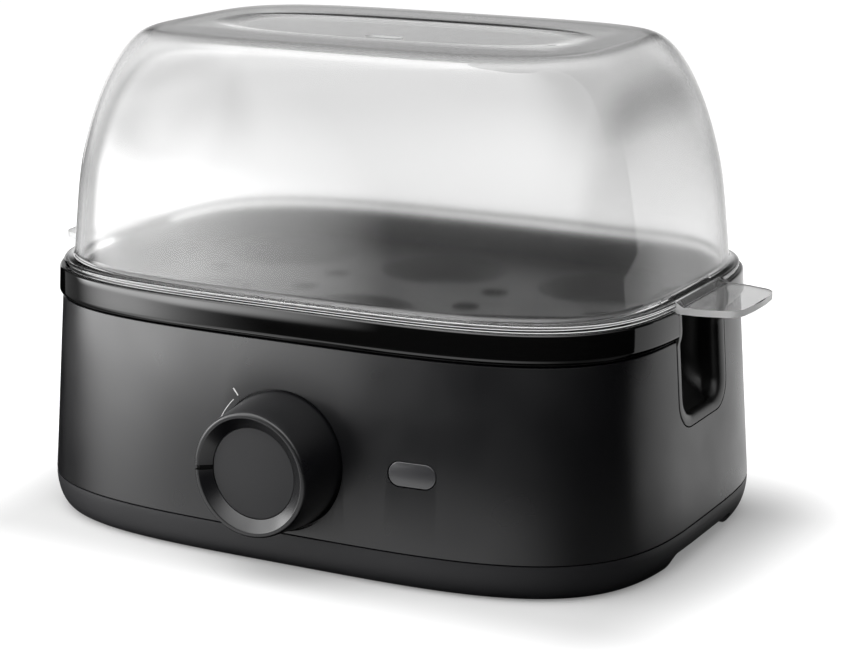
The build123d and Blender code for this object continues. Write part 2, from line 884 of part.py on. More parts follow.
def buzzer():
    """Round sounder on the board with a small hole in its lid."""
    top = board_height + board_thickness
    x, y = board_x + 2 * buzzer_radius, board_y - buzzer_radius
    can = post(x, y, top, top + buzzer_height, buzzer_radius)
    return can - post(x, y, top + buzzer_height - 1, top + buzzer_height, 1)


def terminal_block():
    half_l, half_w = terminal_length / 2, terminal_width / 2
    x0, y0 = terminal_x - half_l, terminal_y - half_w
    low = cover_bottom + cover_wall
    top = low + terminal_height
    body = bar(x0, x0 + terminal_length, y0, y0 + terminal_width, low, top)
    for step in (-1, 0, 1):
        x = terminal_x + terminal_pitch * step
        body -= post(x, terminal_y, top - terminal_hole_depth, top, terminal_hole_radius)
    return body


def cord_gland():
    inner_y = gland_seat_y - housing_wall
    outer_y = gland_seat_y + gland_flange_thickness
    catch_y = inner_y - gland_catch_length
    body = front_post(gland_x, gland_z, outer_y, gland_seat_y, gland_flange)
    body = fillet(body.edges().sort_by(Axis.Y)[-1], gland_flange_thickness / 3)
    body += front_post(gland_x, gland_z, gland_seat_y, catch_y, gland_neck)
    body += front_post(gland_x, gland_z, inner_y, catch_y, gland_neck + gland_catch)
    return body - front_post(gland_x, gland_z, outer_y, catch_y, gland_bore)


def cord_clamp():
    half_w = clamp_width / 2
    low = gland_z - gland_bore
    x0, x1 = gland_x - clamp_half_length, gland_x + clamp_half_length
    y0, y1 = clamp_y - half_w, clamp_y + half_w
    strap = bar(x0, x1, y0, y1, low, low + clamp_thickness)
    strap = fillet(strap.edges().filter_by(Axis.Z), clamp_corner)
    groove_radius = 1.1 * clamp_thickness
    strap -= front_post(gland_x, low - clamp_thickness / 4, y1, y0, groove_radius - seat_gap)
    for x in (gland_x - clamp_screw_x, gland_x + clamp_screw_x):
        strap -= post(x, clamp_y, low, low + clamp_thickness, screw_radius + 2 * seat_gap)
    return strap


def clamp_screws():
    screws = []
    low = gland_z - gland_bore
    for side in (-1, 1):
        x = gland_x + side * clamp_screw_x
        top = low + clamp_thickness
        head = post(x, clamp_y, top, top + screw_head_height, small_head_radius)
        screws.append(head + post(x, clamp_y, low - clamp_screw_depth, top, screw_radius))
    return Compound(screws)


def egg_tray():
    tray = block(ledge_top, tray_top, -rim_width - tray_side_gap)
    side = pocket_half_width + frame_wall
    end = bar(pocket_back_x - tray_side_gap, through, -side, side, 0, through)
    for cut in both_ends(end):
        tray -= cut
    low = tray_top - well_depth
    for x in (-well_pitch_x, 0, well_pitch_x):
        for y in (-well_row_y, well_row_y):
            shell = turned(
                [
                    (0, low - tray_thickness),
                    (well_foot_radius + well_wall, low - tray_thickness),
                    (well_radius + well_wall / 2, ledge_top),
                    (0, ledge_top),
                ]
            )
            dish = turned([(0, low), (well_foot_radius, low), (well_radius, tray_top), (0, tray_top)])
            drain = post(0, 0, low - tray_thickness, low, well_drain_radius)
            tray += Pos(x, y, 0) * shell
            tray -= Pos(x, y, 0) * (dish + drain)
    for x, y in four_corners(well_pitch_x / 2, steam_hole_y) + [(-end_hole_x, 0), (end_hole_x, 0)]:
        tray -= post(x, y, 0, through, steam_hole_radius)
    return tray


def lid_form(thickness):
    """Body of the lid: a short straight draft, then an elliptic shoulder up to the flat top."""
    foot = rim_height + lid_flange
    shoulder_start = foot + lid_straight
    rise = lid_top - thickness - shoulder_start
    places = [(z, 0) for z in (rim_height, foot + 0.3 * lid_straight, foot + 0.65 * lid_straight)]
    for turn in (0, 18, 36, 52, 66, 78, 90):
        lean = math.radians(turn)
        places.append((shoulder_start + rise * math.sin(lean), 1 - math.cos(lean)))
    levels = []
    for z, bend in places:
        inset = lid_draft * (z - foot) + lid_shoulder_width * bend
        levels.append(plan(lid_wall_offset - thickness - inset, z))
    return loft(levels)


def lid_tab():
    """Finger tab at the right-hand end, stepped down from the flange into the rim's notch."""
    inner_x = half_length - tab_root
    tab_bottom = tab_top - tab_thickness
    flange_top = rim_height + lid_flange
    step = flange_top - tab_top
    shoulder_x = half_length + lid_outer_offset - seat_gap * 2
    side = Polyline(
        (inner_x, rim_height),
        (notch_start_x + moving_gap, rim_height),
        (notch_start_x + moving_gap + rim_height - tab_bottom, tab_bottom),
        (through, tab_bottom),
        (through, tab_top),
        (shoulder_x + 1.3 * step, tab_top),
        (shoulder_x, flange_top),
        (inner_x, flange_top),
        close=True,
    )
    side_plane = Plane((0, tab_root_half, 0), x_dir=(1, 0, 0), z_dir=(0, -1, 0))
    strip = extrude(side_plane * make_face(side), 2 * tab_root_half)
    outline = Polyline(
        (inner_x - 1, -tab_root_half),
        (half_length + 1, -tab_root_half),
        (tab_reach, -tab_tip_half),
        (tab_reach, tab_tip_half),
        (half_length + 1, tab_root_half),
        (inner_x - 1, tab_root_half),
        close=True,
    )
    tab_plan = make_face(outline)
    tip = tab_plan.vertices().group_by(Axis.X)[-1]
    tab_plan = fillet(tip, tab_corner)
    return strip & (Pos(0, 0, notch_floor) * extrude(tab_plan, through))


def lid():
    flange_top = rim_height + lid_flange
    flange = block(rim_height, flange_top, lid_outer_offset)
    for level in (0, -1):
        edge = flange.faces().sort_by(Axis.Z)[level].outer_wire().edges()
        flange = chamfer(edge, lid_flange_edge)
    cove_top = lid_wall_offset - lid_draft * lid_cove
    cove = block(flange_top, flange_top + lid_cove, lid_wall_offset + lid_cove, cove_top)
    shell = lid_form(0) + flange + cove
    for tab in both_ends(lid_tab()):
        shell += tab
    panel_x, panel_y = half_length - lid_panel_inset_x, half_depth - lid_panel_inset_y
    panel = RectangleRounded(2 * panel_x, 2 * panel_y, lid_panel_radius)
    shell -= Pos(0, 0, lid_top - lid_panel_depth) * extrude(panel, lid_panel_depth)
    shell -= lid_form(lid_wall)
    vent = Pos(vent_x, vent_y, rim_height) * extrude(SlotOverall(vent_length, vent_width), through)
    return shell - vent


def main():
    right_pocket, left_pocket = both_ends(grip_pocket())
    pieces = {
        "housing": housing(),
        "bottom_cover": bottom_cover(),
        "cover_screws": cover_screws(),
        "rubber_feet": rubber_feet(),
        "top_frame": top_frame(),
        "grip_pocket_right": right_pocket,
        "grip_pocket_left": left_pocket,
        "heating_plate": heating_plate(),
        "plate_gasket": plate_gasket(),
        "plate_screws": plate_screws(),
        "heating_element": heating_element(),
        "heat_shield": heat_shield(),
        "thermostat": thermostat(),
        "thermostat_clip": thermostat_clip(),
        "thermal_fuse": thermal_fuse(),
        "knob": knob(),
        "knob_cap": knob_cap(),
        "control_shaft": control_shaft(),
        "control_switch": control_switch(),
        "control_nut": control_nut(),
        "control_bracket": control_bracket(),
        "bracket_screws": bracket_screws(),
        "indicator_lens": indicator_lens(),
        "indicator_lamp": indicator_lamp(),
        "lamp_holder": lamp_holder(),
        "control_board": control_board(),
        "buzzer": buzzer(),
        "terminal_block": terminal_block(),
        "cord_gland": cord_gland(),
        "cord_clamp": cord_clamp(),
        "clamp_screws": clamp_screws(),
        "egg_tray": egg_tray(),
        "lid": lid(),
    }
    for name, shape in pieces.items():
        export_step(Pos(0, frame_shift, 0) * shape, f"parts/{name}.step")


if __name__ == "__main__":
    main()
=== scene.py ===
import math

import bmesh
import bpy
from bpy.props import FloatProperty, IntProperty, PointerProperty, StringProperty
from mathutils import Matrix, Vector


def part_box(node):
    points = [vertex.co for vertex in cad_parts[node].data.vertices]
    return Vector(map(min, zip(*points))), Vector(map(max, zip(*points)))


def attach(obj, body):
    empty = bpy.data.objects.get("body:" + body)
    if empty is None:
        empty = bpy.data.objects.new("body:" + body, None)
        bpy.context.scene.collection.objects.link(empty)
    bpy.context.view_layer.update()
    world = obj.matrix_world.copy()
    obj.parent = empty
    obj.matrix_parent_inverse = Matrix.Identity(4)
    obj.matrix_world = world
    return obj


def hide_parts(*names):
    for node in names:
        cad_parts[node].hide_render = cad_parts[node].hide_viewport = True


bl_info = {
    "name": "Egg cooker dressing",
    "version": (1, 0, 0),
    "blender": (4, 5, 0),
    "location": "View3D > Sidebar > Cooker",
    "description": "Builds the shells, lid, tray, knob and finishes of an egg cooker",
    "category": "Object",
}

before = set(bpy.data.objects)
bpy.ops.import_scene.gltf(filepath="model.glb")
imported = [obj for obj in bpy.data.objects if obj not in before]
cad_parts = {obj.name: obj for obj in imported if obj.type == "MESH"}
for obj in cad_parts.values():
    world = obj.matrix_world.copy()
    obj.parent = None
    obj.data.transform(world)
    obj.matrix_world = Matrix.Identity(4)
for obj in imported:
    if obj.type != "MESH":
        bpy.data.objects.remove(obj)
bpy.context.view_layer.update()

MM = 0.001
HOUSING_LOW, HOUSING_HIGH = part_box("housing")
CENTRE_Y = (HOUSING_LOW[1] + HOUSING_HIGH[1]) / 2
COVER_SEAM, UPPER_SEAM = HOUSING_LOW[2], HOUSING_HIGH[2]
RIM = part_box("top_frame")[1][2]
LID_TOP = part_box("lid")[1][2]
TRAY_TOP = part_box("egg_tray")[1][2]
KNOB_LOW, KNOB_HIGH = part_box("knob")
KNOB_HEIGHT = (KNOB_LOW[2] + KNOB_HIGH[2]) / 2
KNOB_RADIUS = (KNOB_HIGH[2] - KNOB_LOW[2]) / 2
KNOB_BACK = KNOB_HIGH[1]
KNOB_LENGTH = KNOB_HIGH[1] - KNOB_LOW[1]
KNOB_SEAT, KNOB_SEAT_RADIUS = KNOB_BACK + 0.3 * MM, KNOB_RADIUS + 0.5 * MM
LENS_LOW, LENS_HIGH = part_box("indicator_lens")
LENS_X, LENS_Z = ((LENS_LOW[i] + LENS_HIGH[i]) / 2 for i in (0, 2))
LENS_LENGTH, LENS_WIDTH = 15.4 * MM, 7.5 * MM


def size_field(name, description, millimetres):
    return FloatProperty(
        name=name, description=description, default=millimetres * MM, unit="LENGTH"
    )


def colour_field(name, description, code):
    return StringProperty(name=name, description=description, default=code)


class CookerSizes(bpy.types.PropertyGroup):
    """Sizes of the outer forms, in metres."""

    half_length: size_field("Half length", "Half the body's length at the upper seam", 105.0)
    half_depth: size_field("Half depth", "Half the body's depth at the upper seam", 74.8)
    draft_growth: size_field("Draft growth", "Growth of the housing at its lower seam", 4.1)
    wall: size_field("Wall", "Wall of the moulded shells", 2.5)
    lid_wall: size_field("Lid wall", "Wall of the clear lid", 2.2)
    squareness: FloatProperty(
        name="Squareness", description="Exponent of the outline: 2 is an ellipse, more is squarer",
        default=3.78,
    )
    lid_squareness: FloatProperty(
        name="Lid squareness", description="Exponent of the lid's outline above its foot",
        default=4.08,
    )
    outline_points: IntProperty(
        name="Outline points", description="Points round each shell", default=256, min=64,
    )


class CookerColours(bpy.types.PropertyGroup):
    """Colours of the finishes, as sRGB hex."""

    housing: colour_field("Housing", "Moulded charcoal", "08080a")
    cover: colour_field("Cover", "Bottom cover", "161618")
    gloss: colour_field("Gloss", "Glossy rim and satin grips", "040404")
    tray: colour_field("Tray", "Egg tray", "0c0c0d")
    knob: colour_field("Knob", "Knob and its bevel", "0a0a0c")
    disc: colour_field("Disc", "Recessed disc of the knob", "262627")
    print_ink: colour_field("Print", "Dial scale", "b8b8b8")
    lens: colour_field("Lens", "Smoked light window", "2a2a2c")


def sizes():
    return bpy.context.scene.cooker_sizes


def colours():
    return bpy.context.scene.cooker_colours


# Outlines


def superellipse(turn, half_x, half_y, squareness):
    """Point of a superellipse at a polar angle."""
    cosine, sine = math.cos(turn), math.sin(turn)
    reach = (abs(cosine / half_x) ** squareness + abs(sine / half_y) ** squareness) ** (
        -1 / squareness
    )
    return Vector((reach * cosine, reach * sine))


def even_turns(count):
    """Polar angles that space points evenly along the body's outline."""
    s = sizes()
    fine = 4096
    points = [
        superellipse(2 * math.pi * i / fine, s.half_length, s.half_depth, s.squareness)
        for i in range(fine + 1)
    ]
    run = [0.0]
    for first, second in zip(points, points[1:]):
        run.append(run[-1] + (second - first).length)
    turns, here = [], 0
    for k in range(count):
        goal = run[-1] * (k + 0.5) / count
        while run[here + 1] < goal:
            here += 1
        part = (goal - run[here]) / (run[here + 1] - run[here])
        turns.append(2 * math.pi * (here + part) / fine)
    return turns


def body_point(turn, offset):
    """Point of the body's outline, moved outward by an offset."""
    s = sizes()
    point = superellipse(turn, s.half_length, s.half_depth, s.squareness)
    power = s.squareness - 1
    normal = Vector(
        (
            math.copysign(abs(point.x / s.half_length) ** power / s.half_length, point.x),
            math.copysign(abs(point.y / s.half_depth) ** power / s.half_depth, point.y),
        )
    ).normalized()
    return point + normal * offset


def growth(height):
    """Offset of the housing's outer face at a height."""
    return sizes().draft_growth * (UPPER_SEAM - height) / (UPPER_SEAM - COVER_SEAM)


def front_y(x, height):
    """Depth of the housing's front face."""
    s = sizes()
    rise = (1 - abs(x / s.half_length) ** s.squareness) ** (1 / s.squareness)
    return CENTRE_Y - s.half_depth * rise - growth(height)


def end_x(y, height, proud=0.0):
    """Reach of the right-hand end face at a distance from the middle plane."""
    s = sizes()
    rise = (1 - abs(y / s.half_depth) ** s.squareness) ** (1 / s.squareness)
    return s.half_length * rise + growth(height) + proud


def rounded(corners, steps=5, closed=True):
    """Points of a path whose corners (across, up, radius) are rounded by arcs."""
    points = []
    count = len(corners)
    for i, (across, up, radius) in enumerate(corners):
        here = Vector((across, up))
        if radius <= 0 or (not closed and i in (0, count - 1)):
            points.append(here)
            continue
        back = (Vector(corners[i - 1][:2]) - here).normalized()
        ahead = (Vector(corners[(i + 1) % count][:2]) - here).normalized()
        half = back.angle(ahead) / 2
        if half > math.radians(89):
            points.append(here)
            continue
        centre = here + (back + ahead).normalized() * (radius / math.sin(half))
        first = here + back * (radius / math.tan(half)) - centre
        last = here + ahead * (radius / math.tan(half)) - centre
        for step in range(steps + 1):
            ray = first.lerp(last, step / steps).normalized()
            points.append(centre + ray * radius)
    return points


# Mesh helpers


def sweep(section, place, count, closed=True, cap_first=False, cap_last=False):
    """Carries a section round an outline: place(index, across, up) gives each point."""
    bm = bmesh.new()
    mark = bm.verts.layers.int.new("outline_index")
    ring = bmesh.ops.create_circle(bm, segments=count, radius=1.0)["verts"]
    for i, vert in enumerate(ring):
        vert[mark] = i
    first_edges = edges = list(bm.edges)
    verts = ring
    for i, (across, up) in enumerate(section):
        if i:
            grown = bmesh.ops.extrude_edge_only(bm, edges=edges)["geom"]
            verts = [part for part in grown if isinstance(part, bmesh.types.BMVert)]
            edges = [part for part in grown if isinstance(part, bmesh.types.BMEdge)]
        for vert in verts:
            vert.co = place(vert[mark], across, up)
    if closed:
        bmesh.ops.bridge_loops(bm, edges=first_edges + edges)
    if cap_first:
        bmesh.ops.edgeloop_fill(bm, edges=first_edges)
    if cap_last:
        bmesh.ops.edgeloop_fill(bm, edges=edges)
    bmesh.ops.recalc_face_normals(bm, faces=bm.faces)
    return bm


def body_sweep(section, **ends):
    """A shell round the body's outline."""
    turns = even_turns(sizes().outline_points)

    def place(index, across, up):
        flat = body_point(turns[index], across)
        return Vector((flat.x, flat.y + CENTRE_Y, up))

    return sweep(section, place, len(turns), **ends)


def turned(section, steps=96, closed=True):
    """Solid of revolution about Z from (radius, height) points."""
    bm = bmesh.new()
    verts = [bm.verts.new((radius, 0.0, up)) for radius, up in section]
    edges = [bm.edges.new(pair) for pair in zip(verts, verts[1:])]
    if closed:
        edges.append(bm.edges.new((verts[-1], verts[0])))
    bmesh.ops.spin(
        bm, geom=verts + edges, cent=(0, 0, 0), axis=(0, 0, 1), dvec=(0, 0, 0),
        angle=2 * math.pi, steps=steps, use_merge=True, use_duplicate=False,
    )
    bmesh.ops.remove_doubles(bm, verts=bm.verts, dist=1e-6)
    bmesh.ops.recalc_face_normals(bm, faces=bm.faces)
    return bm


def raised(bm, height):
    """Extrudes a flat face up into a solid."""
    grown = bmesh.ops.extrude_face_region(bm, geom=list(bm.faces))["geom"]
    top = [part for part in grown if isinstance(part, bmesh.types.BMVert)]
    bmesh.ops.translate(bm, verts=top, vec=(0, 0, height))
    bmesh.ops.recalc_face_normals(bm, faces=bm.faces)
    return bm


def prism(outline, low, high):
    """Solid along Z from an outline of (x, y) points."""
    bm = bmesh.new()
    bm.faces.new([bm.verts.new((x, y, low)) for x, y in outline])
    return raised(bm, high - low)


def stadium(length, width, low, high, steps=48):
    """Solid along Z with a rounded-end outline."""
    bm = bmesh.new()
    ring = bmesh.ops.create_circle(bm, segments=steps, radius=width / 2, cap_ends=True)["verts"]
    bmesh.ops.rotate(
        bm, verts=bm.verts, matrix=Matrix.Rotation(math.pi / steps, 3, "Z"), cent=(0, 0, 0)
    )
    for vert in ring:
        vert.co.x += math.copysign((length - width) / 2, vert.co.x)
        vert.co.z = low
    return raised(bm, high - low)


def move(bm, x, y, z=0.0):
    bmesh.ops.translate(bm, verts=bm.verts, vec=(x, y, z))
    return bm


def bore(radius, low, high, x=0.0, y=0.0, steps=96):
    """Round cutter along Z between two heights."""
    return move(turned([(0, low), (radius, low), (radius, high), (0, high)], steps, False), x, y)


def turn_to_front(bm, x, y, z):
    """Points a mesh built along +Z at the front and moves it there."""
    bmesh.ops.rotate(bm, verts=bm.verts, matrix=Matrix.Rotation(math.pi / 2, 3, "X"))
    return move(bm, x, y, z)


def make_object(name, bm, *keys, sharp=30.0):
    """Makes a smooth-shaded object of a mesh, with edges sharper than an angle left crisp."""
    mesh = bpy.data.meshes.new(name)
    bm.to_mesh(mesh)
    bm.free()
    piece = bpy.data.objects.new(name, mesh)
    bpy.context.scene.collection.objects.link(piece)
    for key in keys:
        mesh.materials.append(MATERIALS[key])
    mesh.shade_smooth()
    mesh.set_sharp_from_angle(angle=math.radians(sharp))
    return piece


def settle(piece, sharp=30.0):
    """Applies a piece's modifiers to its mesh."""
    graph = bpy.context.evaluated_depsgraph_get()
    mesh = bpy.data.meshes.new_from_object(piece.evaluated_get(graph))
    piece.modifiers.clear()
    old = piece.data
    piece.data = mesh
    bpy.data.meshes.remove(old)
    mesh.name = piece.name
    mesh.shade_smooth()
    mesh.set_sharp_from_angle(angle=math.radians(sharp))


def combine(piece, others, operation, sharp=30.0):
    """Cuts, joins or intersects a piece with scratch meshes, which are then removed."""
    tools = [make_object("scratch_tool", bm) for bm in others]
    for tool in tools:
        step = piece.modifiers.new("form", "BOOLEAN")
        step.operation = operation
        step.solver = "EXACT"
        step.object = tool
    settle(piece, sharp)
    for tool in tools:
        mesh = tool.data
        bpy.data.objects.remove(tool)
        bpy.data.meshes.remove(mesh)


def finish_piece(piece, body, nodes=()):
    """Ties a piece to its body and hides the nodes that it stands for."""
    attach(piece, body)
    if nodes:
        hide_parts(*nodes)


# Materials


MATERIALS = {}


def linear(code):
    """Linear colour of an sRGB hex code."""
    values = []
    for i in (0, 2, 4):
        value = int(code[i : i + 2], 16) / 255
        values.append(value / 12.92 if value <= 0.04045 else ((value + 0.055) / 1.055) ** 2.4)
    return (*values, 1.0)


def add_node(tree, kind, inputs=None, **settings):
    """Adds a node with its settings, its input values and the links into it."""
    node = tree.nodes.new(kind)
    for name, value in settings.items():
        setattr(node, name, value)
    for key, value in (inputs or {}).items():
        if isinstance(value, bpy.types.NodeSocket):
            tree.links.new(value, node.inputs[key])
        else:
            node.inputs[key].default_value = value
    return node


def new_material(name):
    """An empty node material and its tree."""
    material = bpy.data.materials.new(name)
    material.use_nodes = True
    material.node_tree.nodes.clear()
    return material, material.node_tree


def close_material(material, kind, inputs):
    """Ends a material in its shader, and gives it back."""
    shader = add_node(material.node_tree, kind, inputs)
    add_node(material.node_tree, "ShaderNodeOutputMaterial", {"Surface": shader.outputs[0]})
    return material


def join(tree, operation, *parts):
    """Joins parts by an operation. A part (value, span, ends) is eased over its span first."""
    total = None
    for part in parts:
        if isinstance(part, tuple):
            value, span, ends = part
            part = add_node(
                tree, "ShaderNodeMapRange",
                {"Value": value, "From Min": span[0], "From Max": span[1],
                 "To Min": ends[0], "To Max": ends[1]},
                interpolation_type="SMOOTHSTEP",
            ).outputs[0]
        if total is not None:
            both = add_node(tree, "ShaderNodeMath", {0: total, 1: part}, operation=operation)
            part = both.outputs[0]
        total = part
    return total


def moulded(name, code, roughness, grain_mm, depth, spread=0.08, specular=0.5):
    """Moulded plastic: a fine eroded grain in the surface and a faint drift in its gloss."""
    material, tree = new_material(name)
    where = add_node(tree, "ShaderNodeTexCoord").outputs["Object"]
    grain = add_node(
        tree, "ShaderNodeTexNoise",
        {"Vector": where, "Scale": 1 / (grain_mm * MM), "Detail": 3.0, "Roughness": 0.6},
    )
    drift = add_node(
        tree, "ShaderNodeTexNoise", {"Vector": where, "Scale": 1 / (24 * MM), "Detail": 2.0}
    )
    gloss = add_node(
        tree, "ShaderNodeMapRange",
        {"Value": drift.outputs["Fac"], "From Min": 0.3, "From Max": 0.7,
         "To Min": roughness - spread / 2, "To Max": roughness + spread / 2},
    )
    bump = add_node(
        tree, "ShaderNodeBump",
        {"Height": grain.outputs["Fac"], "Strength": depth, "Distance": 0.05 * MM},
    )
    return close_material(
        material, "ShaderNodeBsdfPrincipled",
        {"Base Color": linear(code), "Roughness": gloss.outputs[0], "Normal": bump.outputs[0],
         "IOR": 1.5, "Specular IOR Level": specular},
    )


def metal(name, code, roughness, brush_mm):
    """Rolled or drawn metal: fine lines one way, which spread the highlight."""
    material, tree = new_material(name)
    where = add_node(tree, "ShaderNodeTexCoord").outputs["Object"]
    lines = add_node(tree, "ShaderNodeMapping", {"Vector": where, "Scale": (1.0, 12.0, 12.0)})
    brushed = add_node(
        tree, "ShaderNodeTexNoise",
        {"Vector": lines.outputs[0], "Scale": 1 / (brush_mm * 12 * MM), "Detail": 4.0},
    )
    gloss = add_node(
        tree, "ShaderNodeMapRange",
        {"Value": brushed.outputs["Fac"], "To Min": roughness - 0.1, "To Max": roughness + 0.1},
    )
    return close_material(
        material, "ShaderNodeBsdfPrincipled",
        {"Base Color": linear(code), "Metallic": 1.0, "Roughness": gloss.outputs[0]},
    )


def folded(tree, middle):
    """Object coordinates as distances from a middle point, all positive."""
    where = add_node(tree, "ShaderNodeTexCoord").outputs["Object"]
    for operation in ("SUBTRACT", "ABSOLUTE"):
        where = add_node(
            tree, "ShaderNodeVectorMath", {0: where, 1: middle}, operation=operation
        ).outputs[0]
    return where


# Painted shade: the dome's colour is darkened in its end shoulders and in the border round its top
# panel
END_SHADE_SPAN = (84.0 * MM, 91.0 * MM)
SHADE_RISE, SHADE_FOOT = (120.0 * MM, 151.0 * MM), (95.0 * MM, 125.0 * MM)
BORDER_SHADE_DEPTH, BORDER_SHADE_LENGTH = (21.0 * MM, 27.0 * MM), (60.0 * MM, 68.0 * MM)
BORDER_SHADE_RISE = (155.3 * MM, 156.8 * MM)
STYRENE_IOR = 1.57


def clear_styrene(name, roughness, code="fcfcfc", deep="9c9c9c"):
    """Clear moulded styrene, with painted shade: its colour darkens to the deep colour in the end
    shoulders and in the border round the top panel.
    """
    material, tree = new_material(name)
    spot = add_node(tree, "ShaderNodeSeparateXYZ", {0: folded(tree, (0, CENTRE_Y, 0))}).outputs
    high = join(
        tree, "MAXIMUM", (spot["Z"], SHADE_RISE, (0.0, 1.0)),
        (spot["Z"], SHADE_FOOT, (0.0, 0.3)),
    )
    ends = join(tree, "MULTIPLY", (spot["X"], END_SHADE_SPAN, (0.0, 1.0)), high)
    border = join(
        tree, "MAXIMUM", (spot["Y"], BORDER_SHADE_DEPTH, (0.0, 1.0)),
        (spot["X"], BORDER_SHADE_LENGTH, (0.0, 1.0)),
    )
    border = join(tree, "MULTIPLY", border, (spot["Z"], BORDER_SHADE_RISE, (0.0, 0.75)))
    # Painted shade: the shoulder and border masks mix the colour towards the darker one
    colour = add_node(
        tree, "ShaderNodeMix",
        {"Factor": join(tree, "MAXIMUM", ends, border), "A": linear(code), "B": linear(deep)},
        data_type="RGBA",
    )
    return close_material(
        material, "ShaderNodeBsdfPrincipled",
        {"Base Color": colour.outputs[2], "Roughness": roughness, "IOR": STYRENE_IOR,
         "Transmission Weight": 1.0},
    )


def milky_edge():
    """Unpolished edge of clear styrene: half clear, half pale."""
    return close_material(
        new_material("unpolished_SAN_edge")[0], "ShaderNodeBsdfPrincipled",
        {"Base Color": linear("e6e6e6"), "Roughness": 0.3, "IOR": STYRENE_IOR,
         "Transmission Weight": 0.45},
    )


def smoked_window():
    """Smoked polycarbonate window, flush with the housing and lit from behind when on."""
    material, tree = new_material("smoked_polycarbonate")
    where = add_node(tree, "ShaderNodeTexCoord").outputs["Object"]
    ribs = add_node(
        tree, "ShaderNodeTexNoise", {"Vector": where, "Scale": 1 / (0.6 * MM), "Detail": 2.0}
    )
    bump = add_node(
        tree, "ShaderNodeBump",
        {"Height": ribs.outputs["Fac"], "Strength": 0.06, "Distance": 0.05 * MM},
    )
    return close_material(
        material, "ShaderNodeBsdfPrincipled",
        {"Base Color": linear(colours().lens), "Roughness": 0.28, "IOR": 1.58,
         "Normal": bump.outputs[0], "Coat Weight": 0.4, "Coat Roughness": 0.1},
    )


def coated_dish():
    """Non-stick coating sprayed on aluminium: dark grey with fine paler flecks."""
    material, tree = new_material("nonstick_coated_aluminium")
    where = add_node(tree, "ShaderNodeTexCoord").outputs["Object"]
    flecks = add_node(tree, "ShaderNodeTexVoronoi", {"Vector": where, "Scale": 1 / (1.6 * MM)})
    fleck = add_node(
        tree, "ShaderNodeMapRange",
        {"Value": flecks.outputs["Distance"], "From Min": 0.06, "From Max": 0.14,
         "To Min": 1.0, "To Max": 0.0},
    )
    colour = add_node(
        tree, "ShaderNodeMix",
        {"Factor": fleck.outputs[0], "A": linear("2b2b2d"), "B": linear("6a6a6c")},
        data_type="RGBA",
    )
    return close_material(
        material, "ShaderNodeBsdfPrincipled",
        {"Base Color": colour.outputs[2], "Roughness": 0.42, "IOR": 1.38},
    )


def build_materials():
    c = colours()
    MATERIALS.update(
        # Spark-eroded ABS gives the housing its dry, even charcoal surface
        housing=moulded("spark_eroded_ABS", c.housing, 0.31, 0.5, 0.25),
        # The cover is moulded in a slightly coarser grain of the same ABS
        cover=moulded("grained_ABS_base", c.cover, 0.5, 0.6, 0.3, specular=0.3),
        # Mould-polished ABS mirrors the lights almost sharply
        gloss=moulded("polished_black_ABS", c.gloss, 0.06, 18.0, 0.02, spread=0.02),
        # Glass-free polypropylene has a waxy satin skin
        tray=moulded("satin_polypropylene", c.tray, 0.5, 0.8, 0.12, specular=0.3),
        # The grips are the same black, satin so that fingers leave no print
        satin=moulded("satin_black_ABS", c.gloss, 0.34, 0.6, 0.1),
        knob=moulded("spark_eroded_ABS_knob", c.knob, 0.3, 0.5, 0.25),
        # The disc is a separate moulding in a drier, paler grain
        disc=moulded("dry_grained_ABS_disc", c.disc, 0.6, 0.5, 0.3, specular=0.2),
        # The bevel round the knob's disc is left as cut, so it shines more
        bevel=moulded("turned_ABS_bevel", c.knob, 0.24, 0.9, 0.05, spread=0.04),
        # Screen-printed ink stands flat and slightly dull on the plastic
        ink=moulded("screen_print_ink", c.print_ink, 0.55, 0.3, 0.1),
        # Painted shade: the pointer's groove is near-black and dull, darker than the knob round it
        pointer=moulded("pointer_groove_painted_shade", "020202", 0.6, 0.4, 0.1, specular=0.1),
        rubber=moulded("moulded_rubber", "1b1b1b", 0.7, 0.7, 0.4),
        silicone=moulded("silicone_rubber", "262626", 0.5, 1.0, 0.1),
        phenolic=moulded("phenolic_moulding", "1d1c1b", 0.4, 0.8, 0.2),
        ceramic=moulded("steatite_and_fibre_sleeve", "d4d0c4", 0.6, 0.4, 0.3),
        board=moulded("coated_circuit_board", "1f4a30", 0.35, 1.2, 0.1),
        lamp=moulded("lamp_epoxy", "d8b48c", 0.15, 3.0, 0.0, spread=0.02),
        steel=metal("zinc_plated_steel", "b8b8b4", 0.35, 0.4),
        sheath=metal("heat_tinted_steel_sheath", "8a7c6a", 0.4, 0.6),
        # The lid's outer face is mould-polished, so the lights stand sharp in it
        clear=clear_styrene("clear_moulded_SAN", 0.0),
        # Its inner face is slightly dull from steam, which softens what stands behind it
        haze=clear_styrene("steam_dulled_SAN_inside", 0.13),
        # Painted shade: the tabs' colour is made a little darker, for the long way light runs
        # inside them
        tab=clear_styrene("clear_moulded_SAN_tabs", 0.02, "dedede"),
        # The tabs' narrow edges are not polished in the mould, so they look milky
        edge=milky_edge(),
        lens=smoked_window(),
        dish=coated_dish(),
    )


NODE_MATERIALS = {
    "steel": (
        "cover_screws", "plate_screws", "heat_shield", "thermostat_clip", "control_shaft",
        "control_nut", "control_bracket", "bracket_screws", "clamp_screws",
    ),
    "phenolic": ("thermostat", "control_switch", "lamp_holder", "buzzer", "cord_clamp"),
    "silicone": ("plate_gasket", "cord_gland"),
    "ceramic": ("thermal_fuse", "terminal_block"),
    "rubber": ("rubber_feet",),
    "dish": ("heating_plate",),
    "sheath": ("heating_element",),
    "lamp": ("indicator_lamp",),
    "board": ("control_board",),
}


class COOKER_OT_materials(bpy.types.Operator):
    """Makes the finishes and gives them to the frame's own nodes"""

    bl_idname = "cooker.materials"
    bl_label = "Finishes"

    def execute(self, context):
        build_materials()
        for key, nodes in NODE_MATERIALS.items():
            for node in nodes:
                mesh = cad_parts[node].data
                mesh.materials.clear()
                mesh.materials.append(MATERIALS[key])
        return {"FINISHED"}


# Openings shared by the shells

